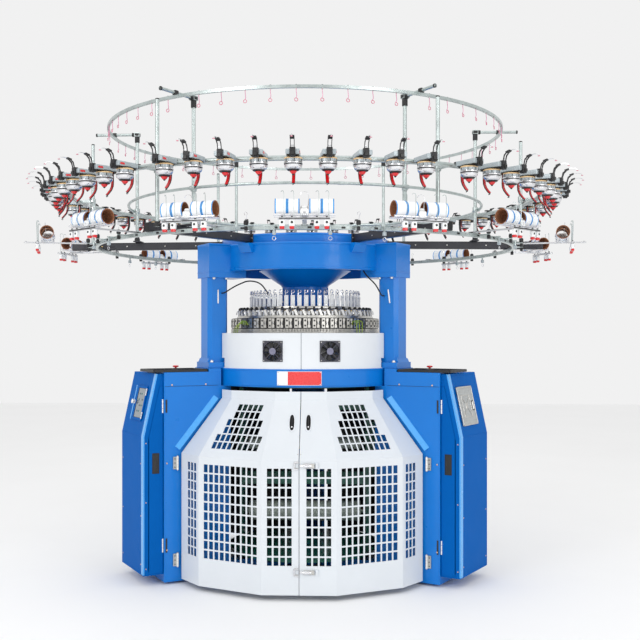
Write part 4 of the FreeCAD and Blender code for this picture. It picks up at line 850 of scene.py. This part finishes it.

# ------------------------------------------------------------------ leg fronts: seams, bent strips, screws, dark strips at the hinges
lg = Build()
for side, az in ((-1, -60), (1, 60)):
    f = -side
    q = Build()

    def fb2(x0, x1, t0, t1, z0, z1, mat, c=0.6):
        a_, b_ = (t0, t1) if f > 0 else (-t1, -t0)
        q.box(x0, x1, a_, b_, z0, z1, mat, c)

    # folded strip along the slope of the guard door, in the lighter blue as a painted highlight
    d0, d1 = Vector((887, 0, 758)), Vector((635, 0, 1069))
    dr_ = (d1 - d0).normalized()
    nr_ = Vector((-dr_.z, 0, dr_.x))
    if nr_.x < 0:
        nr_ = -nr_
    prof = [(3, 112.2), (3, 123), (5, 125.5), (34, 115), (36, 112.2)]
    vs, fs = [], []
    for u, along in ((0, 14), (1, 392)):
        for off, t in prof:
            p = d0 + dr_ * along + nr_ * (off + (0 if u else 6))
            vs.append((p.x, t * f, p.z))
    m2 = len(prof)
    for k in range(m2):
        fc = (k, (k + 1) % m2, m2 + (k + 1) % m2, m2 + k)
        fs.append(fc if f > 0 else fc[::-1])
    e0, e1 = tuple(range(m2)), tuple(range(2 * m2 - 1, m2 - 1, -1))
    fs += [e0[::-1] if f > 0 else e0, e1[::-1] if f > 0 else e1]
    q.add(vs, fs, "blue_light")
    # upper cover seam as a dark strip of painted shade, vertical seam, screws
    fb2(640, 975, 112, 113.2, 1142.2, 1144, "seam", 0.3)
    fb2(640, 974, 111.9, 113.4, 1144.6, 1222, "blue", 1)
    fb2(970, 976.4, 111.4, 113.2, 18, 1222, "blue", 1)
    for u, z in ((929, 1151), (720, 1151), (960, 700), (960, 200)):
        q.cyl((u, (112.8) * f, z), (0, f, 0), 5, 2.0, 12, "screw", 0.6)
    for z0, z1 in ((990, 1069), (184, 270)):
        fb2(958, 968, 112, 114.2, z0 + 2, z1 - 2, "dark", 0.6)
    lg.copy_at(q, turn(az))
lg.make("leg_front_trim", "frame", "blue_paint")

# ------------------------------------------------------------------ guard door hinges
hg = Build()
for side in (-1, 1):
    q = Build()
    t = -side * 121
    for z in (140, 700):
        for k in range(5):
            q.cyl((898, t, z - 40 + 16 * k + 0.5), (0, 0, 1), 6.8, 15, 18, "cap_white", 0.9)
        q.cyl((898, t, z - 43), (0, 0, 1), 4.4, 86, 12, "steel", 0.8)
        a_, b_ = sorted((t, -side * 112))
        q.box(896, 924, a_, b_, z - 36, z + 36, "steel", 1)
        for dz in (-24, 0, 24):
            q.cyl((914, -side * 120.8, z + dz), (0, -side, 0), 3.6, 1.6, 10, "dark", 0.4)
    hg.copy_at(q, turn(side * 60))
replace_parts(hg.make("guard_hinge_set", "frame", "steel"), "door_hinges")

# ------------------------------------------------------------------ cabinets
LEAN = math.atan2(80, 360)
cbx = Build()
for sg, az in ((-1, -60), (1, 60)):
    q = Build()

    def cbox(x0, x1, t0, t1, z0, z1, mat, c=1.0, tf=None, b=None):
        a_, b_ = (t0, t1) if sg > 0 else (-t1, -t0)
        (b or q).box(x0, x1, a_, b_, z0, z1, mat, c, tf)

    # chamfer strip on the outer front edge, below and above the knee; the lighter blue strips on it are a painted
    # highlight
    def strip(pts, t0, t1, mat):
        q.poly(pts, *((t0, t1) if sg > 0 else (-t1, -t0)), mat)

    strip([(1066, 66), (1097, 66), (1097, 858), (1066, 858)], -96.4, -95, "blue_sheet")
    strip([(1066, 858), (1097, 858), (1017, 1216), (984, 1216)], -96.4, -95, "blue_sheet")
    strip([(1090, 66), (1097, 66), (1097, 858), (1090, 856)], -97.2, -95, "blue_light")
    strip([(1090, 856), (1097, 858), (1017, 1216), (1010, 1216)], -97.2, -95, "blue_light")
    strip([(1094.6, 66), (1097.4, 66), (1097.4, 858), (1094.6, 856)], -96, -62, "blue_light")
    strip([(1094.6, 856), (1097.4, 858), (1017.4, 1216), (1014.6, 1216)], -96, -62, "blue_light")
    # seams of the sheet, folded rims and rivets on the outer faces
    strip([(1094.6, 66), (1096.2, 66), (1096.2, 72), (1094.6, 72)], -60, 304, "blue_sheet")
    strip([(1094, 852), (1096.6, 853), (1096.2, 859), (1093, 860)], -60, 306, "blue_sheet")
    strip([(1014, 1206), (1019, 1207), (1017, 1217.5), (984, 1217.5), (984, 1214)], -60, 306, "blue_sheet")
    for z in (120, 400, 700):
        for t in (-50, 290):
            q.cyl((1094.8, t * sg, z), (1, 0, 0), 4.2, 1.8, 12, "screw", 0.5)
    for z in (100, 480, 820):
        q.cyl((1080, -97 * sg, z), (0, -sg, 0), 3.6, 1.6, 10, "screw", 0.5)
    # back face: ventilation slots with folded lips; the lighter lip is a painted highlight and the dark strip under it
    # is painted shade in the slot
    for k in range(9):
        z = 700 + 34 * k if k < 5 else 150 + 34 * (k - 5)
        cbox(960, 1040, 310, 311.6, z, z + 5, "blue_light", 0.6)
        cbox(960, 1040, 309.8, 310.4, z - 8, z, "dark", 0.1)
    cbx.copy_at(q, turn(az))
cbx.make("cabinet_edges", "frame", "blue_paint")

for sg, az, nm in ((-1, -60, "window"), (1, 60, "plate")):
    HA0, HA1, HT0, HT1 = (85, 290, -6, 186) if sg < 0 else (62, 290, -30, 187)
    q = Build()
    tf = turn(az) @ Matrix.Translation((1095, 0, 856)) @ Matrix.Rotation(-LEAN, 4, "Y")

    def hbx(x0, x1, t0, t1, z0, z1, mat, c=1.0):
        a_, b_ = (t0, t1) if sg > 0 else (-t1, -t0)
        q.box(x0, x1, a_, b_, z0, z1, mat, c, tf)

    if sg < 0:
        hbx(0.5, 3.2, HT0, HT1, HA0, HA1, "blue_sheet")
        hbx(0.6, 9, HT0, HT1, HA0, HA0 + 16, "blue_sheet", 1.6)
        hbx(0.6, 9, HT0, HT1, HA1 - 14, HA1, "blue_sheet", 1.6)
        hbx(0.6, 9, HT0, HT0 + 13, HA0 + 14, HA1 - 12, "blue_sheet", 1.6)
        hbx(0.6, 8, HT1 - 46, HT1, HA0 + 14, HA1 - 12, "blue_sheet", 1.6)
        # lighter blue edge strip: painted highlight
        hbx(0.6, 10, HT1 - 12, HT1, HA0, HA1, "blue_light", 1.6)
        hbx(3.3, 5.4, HT0 + 12, HT1 - 44, HA0 + 15, HA1 - 13, "glass", 0.8)
        hbx(3.0, 7, HT0 + 12, HT0 + 15, HA0 + 15, HA1 - 13, "rubber", 0.6)
        hbx(3.0, 7, HT1 - 48, HT1 - 44, HA0 + 15, HA1 - 13, "rubber", 0.6)
        hbx(3.0, 7, HT0 + 12, HT1 - 44, HA0 + 15, HA0 + 18, "rubber", 0.6)
        hbx(3.0, 7, HT0 + 12, HT1 - 44, HA1 - 16, HA1 - 13, "rubber", 0.6)
        # keys and a lamp row behind the glass
        for i in range(4):
            for j in range(3):
                hbx(5.2, 5.9, HT0 + 40 + 30 * j, HT0 + 58 + 30 * j, HA0 + 50 + 34 * i, HA0 + 60 + 34 * i, ("panel_a", "panel_b", "panel_c")[(i + j) % 3], 0.3)
        q.lathe([(0, 8), (12, 8), (12, 11), (7, 13), (7, 17), (13, 19), (14, 24), (12, 27), (0, 28)], 24, "cap_white", tf @ Matrix.Translation((0, sg * 165, 190)) @ Matrix.Rotation(rad(90), 4, "Y"))
    else:
        hbx(0.5, 8.4, HT0, HT1, HA0, HA1, "grey_sheet", 1.4)
        # raised rim
        for a0, a1, c0, c1 in ((HT0, HT1, HA0, HA0 + 9), (HT0, HT1, HA1 - 9, HA1), (HT0, HT0 + 9, HA0, HA1), (HT1 - 9, HT1, HA0, HA1)):
            hbx(7.6, 10.6, a0, a1, c0, c1, "steel", 1.2)
        # pressed panel: inner frame and cross creases towards a small middle square
        x0, x1, z0, z1 = HT0 + 40, HT1 - 57, HA0 + 48, HA1 - 50
        for a0, a1, c0, c1 in ((x0, x1, z0, z0 + 5), (x0, x1, z1 - 5, z1), (x0, x0 + 5, z0, z1), (x1 - 5, x1, z0, z1)):
            hbx(7.8, 10.2, a0, a1, c0, c1, "steel", 1.0)
        mx, mz = (x0 + x1) / 2, (z0 + z1) / 2
        for px_, pz_ in ((x0, z0), (x1, z0), (x0, z1), (x1, z1)):
            q.tube([(8.4, sg * px_, pz_), (9.6, sg * (px_ + mx) / 2, (pz_ + mz) / 2), (8.6, sg * (mx + (px_ - mx) * 0.2), mz + (pz_ - mz) * 0.2)], 2.0, 6, "steel", tf=tf)
        hbx(7.8, 9.8, mx - 16, mx + 16, mz - 16, mz + 16, "steel", 1.0)
        hbx(8, 11, 153, 167, 150, 196, "cap_white", 1.4)
        hbx(8, 9.6, 147, 173, 144, 202, "dark", 0.8)
    for zz in ((97, 236) if sg < 0 else (78, 232)):
        for k in range(3):
            q.cyl((9.5, sg * (HT0 - 2), zz + 14 * k), (0, 0, 1), 3.3, 13, 12, "cap_white" if sg < 0 else "steel", 0.6, tf)
    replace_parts(q.make(nm + "_hatch_leaf", nm + "_hatch", "glass" if sg < 0 else "grey_sheet"), nm + "_hatch")

for sg, az, nm in ((-1, -60, "left"), (1, 60, "right")):
    q = Build()

    def dbx(x0, x1, t0, t1, z0, z1, mat, c=1.0):
        a_, b_ = (t0, t1) if sg > 0 else (-t1, -t0)
        q.box(x0, x1, a_, b_, z0, z1, mat, c, turn(az))

    for z0, z1 in ((990, 1070), (187, 267)):
        h = (z1 - z0) / 3.0
        for k in range(3):
            q.cyl((981, -100 * sg, z0 + k * h + 0.6), (0, 0, 1), 4.8, h - 1.2, 14, "cap_white", 0.8, turn(az))
    dbx(1001.6, 1044.4, -101.9, -99.2, 643, 761, "rubber", 1.2)
    dbx(1007, 1039, -102.4, -99.0, 649, 755, "black", 1.0)
    dbx(1010, 1018, -104.4, -101, 660, 744, "dark", 1.5)
    q.make("recess_pull_" + nm, "cabinet_door_" + nm, "black_plastic")

# ------------------------------------------------------------------ trays: rim, mat, base of the stop button
tb = Build()
for sg, az in ((-1, -60), (1, 60)):
    q = Build()

    def tbx(x0, x1, t0, t1, z0, z1, mat, c=1.0):
        a_, b_ = (t0, t1) if sg > 0 else (-t1, -t0)
        q.box(x0, x1, a_, b_, z0, z1, mat, c)

    zt = 1224
    tbx(706, 1040, -112, 134, zt + 1, zt + 5, "black", 1.2)
    tbx(706, 1040, -112, -104.4, zt + 1, zt + 16, "black", 3)
    tbx(706, 1040, 126.4, 134, zt + 1, zt + 16, "black", 3)
    tbx(706, 713.6, -112, 134, zt + 1, zt + 16, "black", 3)
    tbx(1032.4, 1040, -112, 134, zt + 1, zt + 16, "black", 3)
    tbx(715, 1031, -103, 125, zt + 4.6, zt + 6.6, "tray_glass", 0.6)
    tbx(740, 820, -90, -84, zt + 6, zt + 9, "alu", 1)
    q.lathe([(0, 5), (27, 5), (27, 9), (23, 12), (21, 21), (15, 22), (7.2, 22), (7.2, 14), (0, 14)], 30, "black", Matrix.Translation((880, -40 * sg, zt)))
    for k in range(4):
        a_ = rad(45 + 90 * k)
        q.cyl((880 + 24 * cos(a_), -40 * sg + 24 * sin(a_), zt + 8.6), (0, 0, 1), 1.8, 1.6, 8, "steel", 0.4)
    tb.copy_at(q, turn(az))
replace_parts(tb.make("tray_set", "frame", "black_steel"), "trays")
for sg, az, nm in ((-1, -60, "left"), (1, 60, "right")):
    q = Build()
    q.lathe([(0, 13), (6, 13), (6, 26), (9, 27), (14, 28), (17.4, 31), (17.8, 34), (15.5, 37), (9, 38.6), (0, 39)], 32, "red", turn(az) @ Matrix.Translation((880, -40 * sg, 1224)))
    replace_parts(q.make("stop_head_" + nm, "stop_" + nm, "red_plastic"), "stop_button_" + nm)

# ------------------------------------------------------------------ creel arms, elbows, clamps, eyelets
ARMS = [(37, 1320, 32), (-37, 1320, -32), (94, 1515, 91), (-94, 1515, -91), (153, 1400, 150), (-153, 1400, -150)]
ar, elb = Build(), Build()
for az, rr, pz in ARMS:
    t = turn(az)
    z0, z1, w_, th = 1986.5, 2033.5, 20.0, 3.0
    for a_, b_, c_, d_ in ((-w_, w_, z0, z0 + th), (-w_, w_, z1 - th, z1), (-w_, -w_ + th, z0 + th, z1 - th), (w_ - th, w_, z0 + th, z1 - th)):
        ar.box(520.8, rr, a_, b_, c_, d_, "black_paint", 1.2, t)
    ar.box(rr - 4, rr + 1.6, -w_ + 2.6, w_ - 2.6, z0 + 2.6, z1 - 2.6, "rubber", 1.4, t)
    ar.box(520, 528, -w_ - 12, w_ + 12, z0 - 2, z1 + 4, "black_paint", 2, t)
    for dt in (-26, 26):
        ar.cyl((527, dt, 2010), (1, 0, 0), 5.5, 4, 6, "steel", 0.6, t)
    for u in (700, 900, 1150):
        if u < rr - 40:
            for s2 in (-1, 1):
                ar.cyl((u, s2 * 19.6, 2010), (0, s2, 0), 4.5, 2.6, 6, "steel", 0.5, t)
    if rr > 1310:
        ar.box(1268, 1312, -23, 23, 1984.6, 1986.6, "dark", 0.6, t)
    a1, a2 = rad(az), rad(pz)
    p1 = Vector((1074 * sin(a2), -1074 * cos(a2), 0))
    al = Vector((sin(a1), -cos(a1), 0))
    foot = al * p1.dot(al)
    sd = p1 - foot
    tf = Matrix.Translation((foot.x, foot.y, 2033.5)) @ Matrix.Rotation(math.atan2(sd.y, sd.x), 4, "Z")
    ar.box(-18, sd.length + 18, -23, 23, 0, 8, "black_paint", 2.4, tf)
    for u in (-4, 12):
        ar.cyl((u, 0, 7.6), (0, 0, 1), 6, 4, 6, "steel", 0.6, tf)
    elb.lathe([(10.6, 0), (17, 0), (17, 14), (13.4, 18), (13.4, 26), (10.6, 26), (10.6, 0)], 24, "black", Matrix.Translation((p1.x, p1.y, 2041.5)))
    # socket joints in black at the top corners, clamps of the rings in zinc
    tp_ = turn(pz)
    elb.lathe([(10.6, 2668), (14.6, 2668), (15.4, 2672), (15.4, 2706), (10.6, 2706), (10.6, 2668)], 24, "black", tp_ @ Matrix.Translation((1074, 0, 0)))
    elb.box(1074 - 18, 1074 + 18, -18, 18, 2706, 2731, "black", 5, tp_)
    elb.cyl((1091, 0, 2719), (1, 0, 0), 13, 16, 20, "black", 2, tp_)
    elb.box(1206, 1234, -12, 12, 2706.6, 2731, "dark", 2.5, tp_)
    elb.cyl((1330, 0, 2719), (1, 0, 0), 11, 10, 16, "black", 2, tp_)
    for z, h in ((2216, 30),):
        elb.lathe([(10.6, z), (16, z), (17, z + 3), (17, z + h - 3), (16, z + h), (10.6, z + h), (10.6, z)], 22, "zinc", tp_ @ Matrix.Translation((1074, 0, 0)))
        elb.cyl((1074, 15, z + h / 2.0), (0, 1, 0), 5, 12, 10, "chrome", 1, tp_)
        elb.box(1086, 1104, -9, 9, z + 4, z + h - 4, "zinc", 3, tp_)
    po = pz if abs(pz) != 150 else (149 if pz > 0 else -149)
    to = turn(po)
    elb.lathe([(10.6, 2276), (16.4, 2276), (17.4, 2279), (17.4, 2309), (16.4, 2312), (10.6, 2312), (10.6, 2276)], 22, "zinc", to @ Matrix.Translation((1360, 0, 0)))
    elb.cyl((1360, 15, 2294), (0, 1, 0), 6, 13, 10, "chrome", 1, to)
    elb.box(1374, 1438, -10, 10, 2284, 2304, "zinc", 3, to)
    elb.lathe([(10.6, 1999), (18, 1999), (18, 2012), (13.6, 2016), (13.6, 2026), (10.6, 2026), (10.6, 1999)], 24, "black", to @ Matrix.Translation((1360, 0, 0)))
    elb.lathe([(0, 2655), (10.8, 2655), (11.4, 2658), (8, 2662), (0, 2663)], 20, "black", to @ Matrix.Translation((1360, 0, 0)))
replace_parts(ar.make("creel_arm_set", "frame", "black_steel"), "support_arms")
elb.make("creel_clamps", "frame", "zinc_tube")

eye = Build()
q = Build()
q.tube([(1220, 0, 2694), (1220, 0, 2676), (1221, 2, 2662), (1220, 3, 2652), (1218, 0, 2644), (1219, -3, 2640)], 2.0, 6, "pink_wire")
q.tube([(1220 + 0.4 * k, 8.4 * sin(2 * pi * k / 12), 2632 + 8.4 * cos(2 * pi * k / 12)) for k in range(12)], 2.1, 6, "ceramic", close=True)
q.cyl((1220, 0, 2688), (0, 0, 1), 4.6, 3.6, 10, "steel", 0.6)
q.cyl((1220, 0, 2706.6), (0, 0, 1), 4.6, 3.4, 6, "dark", 0.6)
for az in FEEDS:
    eye.copy_at(q, turn(az))
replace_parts(eye.make("eyelet_wire_set", "frame", "zinc_tube"), "eyelet_hooks")

# rings: splice sleeves and small screws
rg = Build()
for az in (12, 72, 132, -168, -108, -48):
    q = Build()
    q.cyl((1450, -22, 2294), (0, 1, 0), 14.4, 44, 20, "zinc", 1.4)
    q.cyl((1450, -10, 2308), (0, 0, 1), 4, 3.4, 6, "dark", 0.5)
    q.cyl((1450, 10, 2308), (0, 0, 1), 4, 3.4, 6, "dark", 0.5)
    q.cyl((1099, -18, 2231), (0, 1, 0), 9.2, 36, 18, "zinc", 1.2)
    rg.copy_at(q, turn(az))
for k in range(48):
    q = Build()
    q.cyl((1290, 0, 1985.8), (0, 0, 1), 4.4, 2.4, 8, "dark", 0.5)
    q.box(1299.6, 1301.4, -10, 10, 1971, 1981, "dark", 0.4)
    rg.copy_at(q, turn(k * 7.5 + 3.1))
rg.make("ring_sleeves", "frame", "zinc_tube")

# small yarn guides on the elastane ring: a grey block with a wire loop, and a dark cone with a wire eye
yg2 = Build()
q = Build()
q.cyl((1330, 0, 1950), (0, 0, 1), 5, 36, 10, "zinc", 1)
q.box(1300, 1340, -5, 5, 1979, 1985.6, "zinc", 1)
q.box(1322, 1340, -9, 9, 1936, 1956, "grey_box", 3)
q.tube([(1331 + 0.3 * k, 9 * sin(2 * pi * k / 12), 1919 + 9 * cos(2 * pi * k / 12)) for k in range(12)], 1.5, 6, "chrome", close=True)
q2 = Build()
q2.box(1300, 1352, -4, 4, 1979, 1985.6, "zinc", 1)
q2.lathe([(0, 1986), (9, 1986), (12, 1990), (12, 2004), (8, 2010), (0, 2011)], 14, "dark", Matrix.Translation((1344, 0, 0)))
q2.tube([(1344, 0, 2008), (1346, 4, 2030), (1350, 8, 2044), (1353, 0, 2052), (1350, -8, 2044), (1347, -5, 2034)], 1.5, 6, "chrome")
q2.box(1336, 1352, -8, 8, 1958, 1979, "black", 2)
used = [a_ for a_ in [2 + x for x in (0, 20.5, -20.5, 44, -44, 77, -77, 103, -103, 136, -136, 159.5, -159.5, 180)]]
for k in range(60):
    a_ = k * 6.0 + 1.5
    a_ = a_ if a_ <= 180 else a_ - 360
    if min(abs((a_ - x + 180) % 360 - 180) for x in used + [v[0] for v in ARMS] + [34, -30, 90, -89, 150, -147] + [32, -32, 91, -91, 149, -149]) < 2.6:
        continue
    yg2.copy_at(q if k % 2 else q2, turn(a_))
yg2.make("elastane_guide_set", "frame", "alu")


# ------------------------------------------------------------------ floor
fb = bpy.data.meshes.new("floor")
fb.from_pydata([(-14, -14, 0), (14, -14, 0), (14, 14, 0), (-14, 14, 0)], [], [(0, 1, 2, 3)])
floor = bpy.data.objects.new("floor", fb)
sc.collection.objects.link(floor)
fm = material("pale_floor", (0.93, 0.93, 0.93), 0.7, 0, 0.015, 0.6, 0.01, 40)
fb.materials.append(fm)
